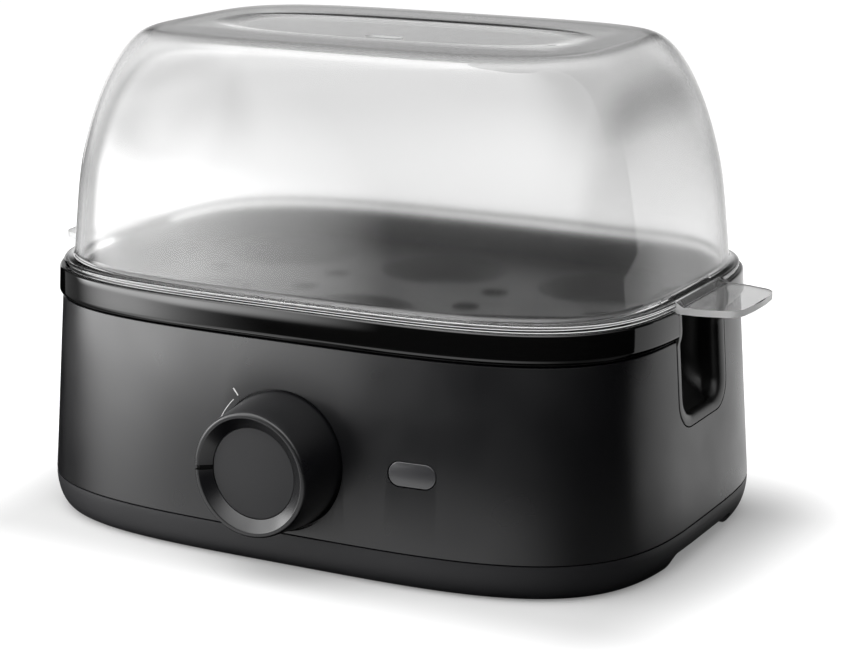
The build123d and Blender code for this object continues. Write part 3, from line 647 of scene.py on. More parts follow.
PAST_END = 130 * MM
POCKET_HALF_WIDTH, POCKET_BOTTOM, POCKET_CORNER = 19.5 * MM, 43.0 * MM, 9.0 * MM
GRIP_HALF_WIDTH, GRIP_BOTTOM, GRIP_CORNER = 14.2 * MM, 46.2 * MM, 7.0 * MM
POCKET_BACK = 93.2 * MM
SCOOP_RADIUS = 14.0 * MM
SIDE_ROUND = 5.0 * MM
BROW_REACH, BROW_HEIGHT = 100.3 * MM, 1.9 * MM
BAND_PROUD, BAND_RISE = 0.9 * MM, 1.6 * MM
LIP_DEPTH, LIP_FLATNESS, LIP_STEPS = 2.6 * MM, 2.4, 10
MOUTH_CLEARANCE = 0.3 * MM
WALL_STEPS, BACK_COLUMNS = 6, 24
TOP_BAND, TOP_DROPS = 1.8 * MM, (0, 0.3 * MM, 0.7 * MM, 1.2 * MM)
NOTCH_FLOOR, NOTCH_START = 79.5 * MM, 101.9 * MM
NOTCH_HALF_WIDTH, NOTCH_FLARE = 19.8 * MM, 2.2 * MM
NOTCH_FALL = 1.2
SEAM = 0.25 * MM
POCKET_START, FRAME_POCKET_START = 87 * MM, 91.3 * MM


def u_path(half_width, bottom, corner, top, arc_steps=10, side_steps=14):
    """Points (y, z) down one side of a pocket, round its foot and up the other side."""
    side = [(-half_width, top - drop) for drop in TOP_DROPS]
    side += [
        (-half_width, top - TOP_BAND + (bottom + corner - top + TOP_BAND) * i / side_steps)
        for i in range(side_steps)
    ]
    for i in range(arc_steps + 1):
        lean = math.pi / 2 * i / arc_steps
        side.append(
            (
                -half_width + corner * (1 - math.cos(lean)),
                bottom + corner * (1 - math.sin(lean)),
            )
        )
    return side + [(-y, z) for y, z in reversed(side)]


def end_prism(outline, x0, x1):
    """Solid along X from an outline of (y, z) points, centred on the body."""
    bm = prism(outline, x0, x1)
    turn = Matrix(((0, 0, 1), (1, 0, 0), (0, 1, 0)))
    for vert in bm.verts:
        vert.co = turn @ vert.co + Vector((0, CENTRE_Y, 0))
    bmesh.ops.recalc_face_normals(bm, faces=bm.faces)
    return bm


def other_end(bm):
    """The same mesh at the left-hand end."""
    twin = bm.copy()
    bmesh.ops.scale(twin, vec=(-1, 1, 1), verts=twin.verts)
    bmesh.ops.reverse_faces(twin, faces=twin.faces)
    return twin


def pocket_cutters(start):
    path = u_path(
        POCKET_HALF_WIDTH + SEAM, POCKET_BOTTOM - SEAM, POCKET_CORNER + SEAM, RIM + 5 * MM
    )
    right = end_prism(path, start, PAST_END)
    return [right, other_end(right)]


def notch_cutters():
    top = RIM + 1 * MM
    flared = NOTCH_HALF_WIDTH + NOTCH_FLARE * (top - NOTCH_FLOOR) / (RIM - NOTCH_FLOOR)
    outline = rounded(
        [
            (-NOTCH_HALF_WIDTH, NOTCH_FLOOR, 1.0 * MM), (NOTCH_HALF_WIDTH, NOTCH_FLOOR, 1.0 * MM),
            (flared, top, 0), (-flared, top, 0),
        ],
        steps=3,
    )
    right = end_prism(outline, NOTCH_START, PAST_END)
    return [right, other_end(right)]


class COOKER_OT_housing(bpy.types.Operator):
    """Builds the matt housing with its openings"""

    bl_idname = "cooker.housing"
    bl_label = "Housing"

    def execute(self, context):
        wall, edge = sizes().wall, 0.35 * MM
        low, high = growth(COVER_SEAM), growth(UPPER_SEAM)
        section = rounded(
            [
                (low - wall, COVER_SEAM, 0), (low, COVER_SEAM, edge),
                (high, UPPER_SEAM, edge), (high - wall, UPPER_SEAM, 0),
            ],
            steps=3,
        )
        piece = make_object("housing_shell", body_sweep(section), "housing")
        backing = bore(KNOB_SEAT_RADIUS + 3 * MM, -wall, 0.1 * MM)
        seat = bore(KNOB_SEAT_RADIUS, 0, 30 * MM)
        shaft = bore(4 * MM, -10 * MM, 30 * MM)
        for bm in (backing, seat, shaft):
            turn_to_front(bm, 0, KNOB_SEAT, KNOB_HEIGHT)
        window = stadium(LENS_LENGTH + 2 * SEAM, LENS_WIDTH + 2 * SEAM, -20 * MM, 20 * MM)
        turn_to_front(window, LENS_X, front_y(LENS_X, LENS_Z), LENS_Z)
        gland_low, gland_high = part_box("cord_gland")
        middle = (Vector(gland_low) + Vector(gland_high)) / 2
        gland = bore(7.5 * MM, -20 * MM, 20 * MM)
        turn_to_front(gland, middle.x, middle.y + 12 * MM, middle.z)
        combine(piece, [backing], "UNION")
        combine(
            piece, [seat, shaft, window, gland, *pocket_cutters(POCKET_START)], "DIFFERENCE"
        )
        finish_piece(piece, "base", ["housing"])
        return {"FINISHED"}


COVER_BOTTOM, COVER_TUCK, COVER_ROLL = 0.5 * MM, 4.4 * MM, 0.86 * math.pi / 2
TUNNEL_HALF_WIDTH, TUNNEL_TOP = 24.0 * MM, 5.6 * MM
FOOT_RADIUS, FOOT_HOLE, SCREW_HOLE, HOLE_DEPTH = 7.0 * MM, 7.1 * MM, 3.6 * MM, 1.8 * MM
SCREW_X, SCREW_Y = 84 * MM, 51.5 * MM


class COOKER_OT_cover(bpy.types.Operator):
    """Builds the bottom cover with its rails and the tunnel between them"""

    bl_idname = "cooker.cover"
    bl_label = "Bottom cover"

    def execute(self, context):
        wide, seam, steps = sizes().draft_growth, COVER_SEAM - SEAM, 14
        section = [
            Vector(point) for point in
            ((wide - 2.2 * MM, seam), (wide - 0.4 * MM, seam), (wide - 0.1 * MM, seam - 0.1 * MM))
        ]
        for step in range(1, steps + 1):
            lean = COVER_ROLL * step / steps
            up = seam - (seam - COVER_BOTTOM) * math.sin(lean) / math.sin(COVER_ROLL)
            tuck = COVER_TUCK * (1 - math.cos(lean)) / (1 - math.cos(COVER_ROLL))
            section.append(Vector((wide - tuck, up)))
        section.append(Vector((section[-1].x - 0.8 * MM, COVER_BOTTOM)))
        shell = body_sweep(section, closed=False, cap_first=True, cap_last=True)
        piece = make_object("bottom_cover_shell", shell, "cover")
        foot = TUNNEL_HALF_WIDTH + 4 * MM
        tunnel = end_prism(
            rounded(
                [
                    (-foot, -5 * MM, 0), (-TUNNEL_HALF_WIDTH, TUNNEL_TOP, 4 * MM),
                    (TUNNEL_HALF_WIDTH, TUNNEL_TOP, 4 * MM), (foot, -5 * MM, 0),
                ],
                steps=6,
            ),
            -140 * MM, 140 * MM,
        )
        low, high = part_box("rubber_feet")
        feet = [(high[i] - low[i]) / 2 - FOOT_RADIUS for i in (0, 1)]
        holes = [
            bore(radius, -10 * MM, HOLE_DEPTH, x, y + CENTRE_Y, count)
            for (far_x, far_y), radius, count in (
                (feet, FOOT_HOLE, 48), ((SCREW_X, SCREW_Y), SCREW_HOLE, 32),
            )
            for x in (-far_x, far_x)
            for y in (-far_y, far_y)
        ]
        combine(piece, [tunnel, *holes], "DIFFERENCE")
        finish_piece(piece, "base", ["bottom_cover"])
        return {"FINISHED"}


LEDGE, BASIN = 70.0 * MM, 61.0 * MM
INNER_SHARE = 0.94


class COOKER_OT_rim(bpy.types.Operator):
    """Builds the glossy top frame with its rim, ledge and basin"""

    bl_idname = "cooker.rim"
    bl_label = "Top frame"

    def execute(self, context):
        low, neck, under = UPPER_SEAM + 0.35 * MM, 79.3 * MM, LEDGE - 2 * MM
        section = rounded(
            [
                # Outside of the band, over the rim and down to the tray's ledge
                (-2.8 * MM, low, 0), (1.2 * MM, low, 2.0 * MM), (0.6 * MM, RIM, 0.7 * MM),
                (-7.6 * MM, RIM, 0.6 * MM), (-7.7 * MM, LEDGE, 0.5 * MM),
                # The ledge, the basin's wall and its foot
                (-16.5 * MM, LEDGE, 0.5 * MM), (-16.7 * MM, BASIN, 0.5 * MM),
                (-23.0 * MM, BASIN, 0.4 * MM), (-23.0 * MM, BASIN - 2 * MM, 0),
                # The same way back on the underside
                (-14.5 * MM, BASIN - 2 * MM, 0), (-14.5 * MM, under, 0),
                (-5.6 * MM, under, 0), (-5.6 * MM, neck, 0), (-2.8 * MM, neck, 0),
            ],
            steps=5,
        )
        piece = make_object("top_frame_shell", body_sweep(section), "gloss", "tray")
        combine(piece, [*pocket_cutters(FRAME_POCKET_START), *notch_cutters()], "DIFFERENCE")
        s = sizes()
        for polygon in piece.data.polygons:
            x, y, z = polygon.center
            out = abs(x / s.half_length) ** s.squareness
            out += abs((y - CENTRE_Y) / s.half_depth) ** s.squareness
            inside = z < RIM - 1.5 * MM and out ** (1 / s.squareness) < INNER_SHARE
            polygon.material_index = int(inside)
        finish_piece(piece, "base", ["top_frame"])
        return {"FINISHED"}


def grip_surface():
    """Rounded lip, side walls and scooped back of the right-hand grip pocket, as one surface."""
    brim = 0.05
    levels = [(0.0, -3.0 * MM), (0.0, -0.3 * MM), (brim, 0.0)]
    for step in range(1, LIP_STEPS + 1):
        share = step / LIP_STEPS
        drop = 1 - (1 - share**LIP_FLATNESS) ** (1 / LIP_FLATNESS)
        levels.append((brim + (1 - brim) * share, -LIP_DEPTH * drop))
    count = len(u_path(1, 1, 0.1, 2))
    bm = bmesh.new()
    rows = []
    for inward, depth in levels:
        half = POCKET_HALF_WIDTH + (GRIP_HALF_WIDTH - POCKET_HALF_WIDTH) * inward
        bottom = POCKET_BOTTOM + (GRIP_BOTTOM - POCKET_BOTTOM) * inward
        corner = POCKET_CORNER + (GRIP_CORNER - POCKET_CORNER) * inward
        path = u_path(half, bottom, corner, RIM - 0.02 * MM)
        rows.append([(end_x(y, z, grip_proud(z)) + depth, y, z) for y, z in path])
    mouth = rows[-1]
    for step in range(1, WALL_STEPS + 1):
        share = step / WALL_STEPS
        row = []
        for x, y, z in mouth:
            back = eased_min(grip_back(y, z), x - MOUTH_CLEARANCE)
            row.append((x + (back - x) * share, y, z))
        rows.append(row)
    grid = [[bm.verts.new(notched(*point)) for point in row] for row in rows]
    for first, second in zip(grid, grid[1:]):
        for i in range(count - 1):
            bm.faces.new((first[i], first[i + 1], second[i + 1], second[i]))
    across = []
    for i in range(count // 2):
        _, side, up = rows[-1][i]
        limit = mouth[i][0] - MOUTH_CLEARANCE
        line = [grid[-1][i]]
        for k in range(1, BACK_COLUMNS):
            y = side * (1 - 2 * k / BACK_COLUMNS)
            line.append(bm.verts.new(notched(eased_min(grip_back(y, up), limit), y, up)))
        across.append(line + [grid[-1][count - 1 - i]])
    for upper, lower in zip(across, across[1:]):
        for k in range(BACK_COLUMNS):
            bm.faces.new((upper[k], lower[k], lower[k + 1], upper[k + 1]))
    bmesh.ops.recalc_face_normals(bm, faces=bm.faces)
    bm.faces.ensure_lookup_table()
    if bm.faces[-1].normal.x < 0:
        bmesh.ops.reverse_faces(bm, faces=bm.faces)
    return bm


def notched(x, y, z):
    """A point of the pocket, brought down under the notch that takes the lid's tab."""
    if x > NOTCH_START:
        z = min(z, max(NOTCH_FLOOR, RIM - (x - NOTCH_START) * NOTCH_FALL))
    return x, y + CENTRE_Y, z


def eased_min(first, second, ease=4.0 * MM):
    """The smaller of two values, with the change between them eased."""
    return min(first, second) - max(ease - abs(first - second), 0.0) ** 2 / (4 * ease)


def grip_proud(z):
    """The ring follows the housing, and the proud band above the seam."""
    reach = min(max((z - UPPER_SEAM + 0.6 * MM) / BAND_RISE, 0.0), 1.0)
    return reach * BAND_PROUD


def grip_back(y, z):
    """Depth of the scoop: round at its sides, upright, with a brow under the lid's flange."""
    rise = min(max(GRIP_BOTTOM + SCOOP_RADIUS - z, 0.0), SCOOP_RADIUS)
    foot = SCOOP_RADIUS - math.sqrt(SCOOP_RADIUS**2 - rise**2)
    beside = min(max((abs(y) - GRIP_HALF_WIDTH) / SIDE_ROUND + 1, 0.0), 1.0)
    brow = min(max((z - RIM) / BROW_HEIGHT + 1, 0.0), 1.0) ** 2
    return (
        POCKET_BACK + foot + SIDE_ROUND * (1 - math.sqrt(1 - beside**2))
        + (BROW_REACH - POCKET_BACK) * brow
    )


class COOKER_OT_grips(bpy.types.Operator):
    """Builds the satin scooped grip pocket in each short end"""

    bl_idname = "cooker.grips"
    bl_label = "Grip pockets"

    def execute(self, context):
        right = grip_surface()
        left = other_end(right)
        for name, bm in (("right", right), ("left", left)):
            piece = make_object(f"grip_{name}", bm, "satin", sharp=50)
            wall = piece.modifiers.new("wall", "SOLIDIFY")
            wall.thickness = 1.5 * MM
            wall.offset = -1
            settle(piece, 50)
            finish_piece(piece, "base", [f"grip_pocket_{name}"])
        return {"FINISHED"}


# The lid

LID_FOOT = RIM + 2.2 * MM
LID_START = LID_FOOT + 20.0 * MM
LID_UNDER = RIM + 0.02 * MM
FOOT_INSET, LID_DRAFT, SHOULDER_REACH = 3.4 * MM, 0.118, 16.3 * MM
SQUARING = (4 * MM, 30 * MM)
PANEL_SINK = 0.6 * MM
PANEL_X, PANEL_Y, PANEL_ROUND = 63.5 * MM, 25.0 * MM, 2.9
PANEL_SHARES = (0.02, 0.45, 0.8)
BLEND_SHARES = (0.25, 0.5, 0.75)
TAB_TOP, TAB_LOW, TAB_TIP = 82.0 * MM, 79.9 * MM, 124.4 * MM
TAB_START = 104.5 * MM


def lid_levels(inner):
    """Section of the lid's wall as (inset, height), from its foot up to the flat top."""
    wall = sizes().lid_wall if inner else 0.0
    rise = LID_TOP - wall - LID_START

    def inset(up):
        return FOOT_INSET + wall + LID_DRAFT * (up - LID_FOOT)

    levels = []
    for step in range(8):
        up = LID_FOOT + (LID_START - LID_FOOT) * step / 8
        levels.append((inset(up), up))
    for step in range(33):
        lean = math.pi / 2 * step / 32
        up = LID_START + rise * math.sin(lean)
        levels.append((inset(up) + SHOULDER_REACH * (1 - math.cos(lean)), up))
    return levels


def lid_section():
    """The lid's whole path as (kind, across, up), from the panel round to its underside."""
    top, under = LID_TOP, LID_TOP - sizes().lid_wall
    ease = [(1 - math.cos(math.pi * step / 10)) / 2 for step in range(11)]

    def panel(start, height):
        path = [("panel", share, height - PANEL_SINK) for share in PANEL_SHARES]
        return path + [
            ("panel", start + 0.018 * step, height - PANEL_SINK * (1 - rise))
            for step, rise in enumerate(ease)
        ]

    flange = rounded(
        [
            (FOOT_INSET + LID_DRAFT * 3 * MM, LID_FOOT + 3 * MM, 0),
            (FOOT_INSET, LID_FOOT, 2.3 * MM),
            (0.6 * MM, LID_FOOT, 0.6 * MM),
            (0.6 * MM, LID_UNDER, 0.5 * MM),
            (5.3 * MM, LID_UNDER, 0.5 * MM),
            (5.6 * MM, LID_FOOT, 0),
        ],
        steps=5, closed=False,
    )
    path = panel(0.86, top)
    path += [("blend", share, top) for share in BLEND_SHARES]
    path += [
        ("wall", across, up) for across, up in reversed(lid_levels(False))
        if up > LID_FOOT + 2.4 * MM
    ]
    path += [("wall", point.x, point.y) for point in flange[1:-1]]
    path += [("wall", across, up) for across, up in lid_levels(True)]
    path += [("blend_in", share, under) for share in reversed(BLEND_SHARES)]
    return path + panel(0.85, under)[::-1]


def lid_place(turns):
    """Places a point of the lid's section at an outline index."""
    s = sizes()
    outer_end, inner_end = lid_levels(False)[-1][0], lid_levels(True)[-1][0]

    def wall(turn, across, up):
        reach = min(max((up - RIM - SQUARING[0]) / SQUARING[1], 0.0), 1.0)
        power = s.squareness + (s.lid_squareness - s.squareness) * reach
        return superellipse(turn, s.half_length - across, s.half_depth - across, power)

    def panel(turn, share):
        return superellipse(turn, PANEL_X * share, PANEL_Y * share, PANEL_ROUND)

    def place(index, across, packed):
        kind, up = packed
        turn = turns[index]
        if kind == "wall":
            flat = wall(turn, across, up)
        elif kind == "panel":
            flat = panel(turn, across)
        else:
            edge = wall(turn, outer_end if kind == "blend" else inner_end, LID_TOP)
            flat = panel(turn, 1.04).lerp(edge, across)
        return Vector((flat.x, flat.y + CENTRE_Y, up))

    return place


def tab_mesh():
    """Finger tab at the right-hand end, with eased edges."""
    root, root_top = 100.4 * MM, RIM + 2.18 * MM
    side = rounded(
        [
            (root, RIM + 0.03 * MM, 0),
            (root + 2 * MM, RIM + 0.03 * MM, 1.0 * MM),
            (104.3 * MM, TAB_LOW, 1.0 * MM),
            (TAB_TIP, TAB_LOW, 0.6 * MM),
            (TAB_TIP, TAB_TOP, 0.6 * MM),
            (106.4 * MM, TAB_TOP, 1.6 * MM),
            (104.2 * MM, root_top, 1.0 * MM),
            (root, root_top, 0),
        ],
        steps=4,
    )
    return turn_to_front(prism(side, -30 * MM, 30 * MM), 0, CENTRE_Y, 0)


def tab_outline():
    """Trim for the tab's plan: wide at the root, narrower at the bowed tip."""
    side = [(99.0, 19.2, 0), (112.0, 18.8, 20), (122.9, 15.6, 6)]
    corners = [(x, -y, radius) for x, y, radius in side] + [(124.5, 0, 60)] + side[::-1]
    outline = rounded([tuple(value * MM for value in corner) for corner in corners], steps=6)
    return move(prism(outline, 70 * MM, 90 * MM), 0, CENTRE_Y)


class COOKER_OT_lid(bpy.types.Operator):
    """Builds the clear lid with its flange, finger tabs, panel and steam vent"""

    bl_idname = "cooker.lid"
    bl_label = "Lid"

    def execute(self, context):
        turns = even_turns(sizes().outline_points)
        section = [(across, (kind, up)) for kind, across, up in lid_section()]
        shell = sweep(
            section, lid_place(turns), len(turns), closed=False, cap_first=True, cap_last=True
        )
        piece = make_object("clear_lid", shell, "clear", "haze", "tab", "edge", sharp=40)
        blank = make_object("scratch_tab", tab_mesh())
        combine(blank, [tab_outline()], "INTERSECT")
        right = bmesh.new()
        right.from_mesh(blank.data)
        bpy.data.objects.remove(blank)
        combine(piece, [right, other_end(right)], "UNION", 40)
        vent = stadium(13 * MM, 4 * MM, LID_TOP - 10 * MM, LID_TOP + 5 * MM)
        vent_middle = Vector((2.5 * MM, CENTRE_Y - 15 * MM, 0))
        move(vent, *vent_middle)
        combine(piece, [vent], "DIFFERENCE", 40)
        clear, haze, tab, edge = range(4)
        middle = Vector((0, CENTRE_Y, RIM))
        for polygon in piece.data.polygons:
            centre, upright = polygon.center, abs(polygon.normal.z) < 0.5
            facing_in = polygon.normal.dot(middle - centre) > 0
            kind = haze if centre.z > RIM + 3 * MM and facing_in else clear
            if abs(centre.x) > TAB_START:
                kind = edge if upright else tab
            if (centre - vent_middle).xy.length < 7 * MM and upright:
                kind = edge
            polygon.material_index = kind
        finish_piece(piece, "lid", ["lid"])
        return {"FINISHED"}


# The egg tray

WELL_X, WELL_Y = 59.0 * MM, 33.0 * MM
WELL_RADIUS, WELL_DEPTH = 22.1 * MM, 7.5 * MM
TRAY_THICK, TRAY_INSET = 2.0 * MM, 9.0 * MM
STEAM_RADIUS = 4.5 * MM
STEAM_HOLES = (
    (-29.5, -10.5), (-29.5, 10.5), (29.5, -10.5), (29.5, 10.5), (-70, 0), (70, 0),
)
BITE_START, BITE_HALF_WIDTH = 90 * MM, 21.5 * MM


class COOKER_OT_tray(bpy.types.Operator):
    """Builds the egg tray: a flat plate with dished wells and steam holes"""

    bl_idname = "cooker.tray"
    bl_label = "Egg tray"

    def execute(self, context):
        under = TRAY_TOP - TRAY_THICK
        section = rounded(
            [
                (-30 * MM, under, 0), (-TRAY_INSET, under, 0.4 * MM),
                (-TRAY_INSET, TRAY_TOP, 0.7 * MM), (-30 * MM, TRAY_TOP, 0),
            ],
            steps=4, closed=False,
        )
        plate = body_sweep(section, closed=False, cap_first=True, cap_last=True)
        piece = make_object("egg_tray_plate", plate, "tray")
        wells = [(x, y) for x in (-WELL_X, 0, WELL_X) for y in (-WELL_Y, WELL_Y)]
        cuts = []
        for side in (-1, 1):
            corners = [
                (side * x, y + CENTRE_Y)
                for x, y in (
                    (BITE_START, -BITE_HALF_WIDTH), (140 * MM, -BITE_HALF_WIDTH),
                    (140 * MM, BITE_HALF_WIDTH), (BITE_START, BITE_HALF_WIDTH),
                )
            ]
            cuts.append(prism(corners, 50 * MM, 90 * MM))
        holes = [(x * MM, y * MM, STEAM_RADIUS, 40) for x, y in STEAM_HOLES]
        holes += [(x, y, WELL_RADIUS, 80) for x, y in wells]
        for x, y, radius, steps in holes:
            cuts.append(bore(radius, 60 * MM, 80 * MM, x, y + CENTRE_Y, steps))
        combine(piece, cuts, "DIFFERENCE")
        finish_piece(piece, "tray", ["egg_tray"])
        low = TRAY_TOP - WELL_DEPTH
        for i, (x, y) in enumerate(wells):
            cup = turned(
                rounded(
                    [
                        (6.0 * MM, low - TRAY_THICK, 0.4 * MM),
                        (15.5 * MM, low - TRAY_THICK, 1.6 * MM),
                        (22.6 * MM, under + 0.3 * MM, 0.3 * MM),
                        (22.6 * MM, TRAY_TOP - 0.02 * MM, 0.2 * MM),
                        (21.5 * MM, TRAY_TOP - 0.02 * MM, 1.2 * MM),
                        (14.5 * MM, low, 1.8 * MM),
                        (6.0 * MM, low, 0.5 * MM),
                    ],
                    steps=5,
                ),
                80,
            )
            move(cup, x, y + CENTRE_Y)
            finish_piece(make_object(f"egg_well_{i + 1}", cup, "tray"), "tray")
        return {"FINISHED"}


# Knob, its scale and the light window

KNOB_FRONT, DISC_RADIUS, DISC_THICK = 19.2 * MM, 14.25 * MM, 1.4 * MM
DISC = KNOB_LENGTH - 2.6 * MM
GROOVE_HALF_WIDTH, GROOVE_END = 0.75 * MM, 22 * MM


class COOKER_OT_knob(bpy.types.Operator):
    """Builds the control knob, its disc and its pointer groove"""

    bl_idname = "cooker.knob"
    bl_label = "Knob"

    def execute(self, context):
        seat = DISC - DISC_THICK
        section = rounded(
            [
                (KNOB_RADIUS - 2.2 * MM, 0.0, 0.2 * MM), (KNOB_RADIUS, 0.0, 0.3 * MM),
                (KNOB_FRONT + 0.1 * MM, KNOB_LENGTH, 0.9 * MM),
                (KNOB_FRONT - 1.4 * MM, KNOB_LENGTH, 0.5 * MM),
                (DISC_RADIUS, DISC, 0.2 * MM), (DISC_RADIUS, seat, 0), (0.0, seat, 0),
                (0.0, seat - 2 * MM, 0), (KNOB_FRONT - 3.0 * MM, seat - 2 * MM, 0),
            ],
            steps=5,
        )
        cup = turn_to_front(turned(section, 144), 0, KNOB_BACK, KNOB_HEIGHT)
        piece = make_object("knob_body", cup, "knob", "bevel", "pointer")
        inner, deep = DISC_RADIUS + 0.1 * MM, KNOB_LENGTH - 1.8 * MM
        path = [
            (GROOVE_END, deep), (KNOB_FRONT - 0.5 * MM, deep),
            (KNOB_FRONT - 1.5 * MM, KNOB_LENGTH - 0.6 * MM), (inner, DISC - 0.5 * MM),
            (inner, KNOB_LENGTH + 1 * MM), (GROOVE_END, KNOB_LENGTH + 1 * MM),
        ]
        groove = prism(
            [(-out, KNOB_BACK - up) for out, up in path],
            KNOB_HEIGHT - GROOVE_HALF_WIDTH, KNOB_HEIGHT + GROOVE_HALF_WIDTH,
        )
        combine(piece, [groove], "DIFFERENCE")
        knob, bevel, pointer = range(3)
        for polygon in piece.data.polygons:
            x, y, z = polygon.center
            out, aside = math.hypot(x, z - KNOB_HEIGHT), abs(z - KNOB_HEIGHT)
            on_bevel = DISC_RADIUS < out < KNOB_FRONT - 1.3 * MM and polygon.normal.y < -0.3
            in_groove = aside < GROOVE_HALF_WIDTH + 0.01 * MM and x < -DISC_RADIUS
            # Painted shade: the groove's faces get the near-black pointer material
            if in_groove and KNOB_BACK - y > KNOB_LENGTH - 3.4 * MM:
                polygon.material_index = pointer
            else:
                polygon.material_index = bevel if on_bevel else knob
        finish_piece(piece, "knob", ["knob"])
        edge, height = DISC_RADIUS - 0.1 * MM, DISC_THICK - 0.05 * MM
        cap = turned(
            rounded(
                [(0, 0, 0), (edge, 0, 0), (edge, height, 0.3 * MM), (0, height, 0)],
                steps=3, closed=False,
            ),
            96, False,
        )
        turn_to_front(cap, 0, KNOB_BACK - seat, KNOB_HEIGHT)
        piece = make_object("knob_disc", cap, "disc")
        finish_piece(piece, "knob", ["knob_cap"])
        return {"FINISHED"}


PRINT_LIFT, PRINT_THICK = 0.03 * MM, 0.05 * MM
ARC_WIDTH, TICK_WIDTH = 0.22 * MM, 0.4 * MM
SCALE_RADII = (23.7, 25.0, 26.4)


def printed_stroke(points, width):
    """Thin print on the housing's front along (x, z) points."""
    bm = bmesh.new()
    rows = []
    for i, (x, z) in enumerate(points):
        before = Vector(points[max(i - 1, 0)])
        after = Vector(points[min(i + 1, len(points) - 1)])
        along = (after - before).normalized()
        across = Vector((-along.y, along.x)) * width / 2
        row = []
        for side in (-1, 1):
            px, pz = x + across.x * side, z + across.y * side
            row.append(bm.verts.new((px, front_y(px, pz) - PRINT_LIFT, pz)))
        rows.append(row)
    for (a, b), (c, d) in zip(rows, rows[1:]):
        bm.faces.new((a, b, d, c))
    bmesh.ops.recalc_face_normals(bm, faces=bm.faces)
    bmesh.ops.solidify(bm, geom=bm.faces, thickness=PRINT_THICK)
    return bm


class COOKER_OT_scale(bpy.types.Operator):
    """Prints the dial scale on the housing beside the knob"""

    bl_idname = "cooker.scale"
    bl_label = "Dial scale"

    def execute(self, context):
        def spots(degrees, radii):
            turn = math.radians(degrees)
            return [
                (r * MM * math.cos(turn), KNOB_HEIGHT + r * MM * math.sin(turn)) for r in radii
            ]

        arc = [spots(135 + 90 * i / 60, SCALE_RADII[:1])[0] for i in range(61)]
        strokes = [(arc, ARC_WIDTH)]
        strokes += [(spots(degrees, SCALE_RADII), TICK_WIDTH) for degrees in (130, 230)]
        for i, (stroke, width) in enumerate(strokes):
            piece = make_object(f"scale_mark_{i + 1}", printed_stroke(stroke, width), "ink")
            finish_piece(piece, "base")
        return {"FINISHED"}


class COOKER_OT_window(bpy.types.Operator):
    """Builds the smoked window of the indicator light"""

    bl_idname = "cooker.window"
    bl_label = "Light window"

    def execute(self, context):
        window = stadium(LENS_LENGTH, LENS_WIDTH, -2.4 * MM, 0.0)
        top = [
            edge for edge in window.edges if all(abs(vert.co.z) < 1e-7 for vert in edge.verts)
        ]
        bmesh.ops.bevel(
            window, geom=top, offset=0.3 * MM, offset_type="OFFSET", segments=3, profile=0.5,
            affect="EDGES", material=-1,
        )
        turn_to_front(window, LENS_X, 0, LENS_Z)
        for vert in window.verts:
            vert.co.y += front_y(vert.co.x, vert.co.z) + 0.02 * MM
        piece = make_object("light_window", window, "lens")
        finish_piece(piece, "base", ["indicator_lens"])
        return {"FINISHED"}


# Stage

EYE, TARGET = (0.36920, -0.67862, 0.25669), (0.00947, 0.0, 0.0592)
SENSOR_WIDTH, LENS = 36.0, 102.56
WHITE = (1, 1, 1, 1)
# Painted light: a glow seen only by the camera is weak at the cooker's foot and grows to full
# white over this reach, so shadow shows only near the foot
FOOTPRINT, FLOOR_MIDDLE = (0.100, 0.055, 0), CENTRE_Y - 0.02
FLOOR_GLOW, GLOW_REACH = 0.2, 0.06
# Light on the sweep as the lid shows it: full inside the first radius, fainter past the last
POOL, POOL_EDGE = (0.55, 1.1), 0.6
WORLD_FILL = 0.15
LEFT_STRENGTH, VEIL_STRENGTH, LOW_STRENGTH, UPPER_STRENGTH = 4.8, 8.2, 1.5, 4.2
REAR_STRENGTH = 1.1
FRONT_DOME, REAR_DOME = 0.6, 0.8
DOME_HEIGHT = 0.1


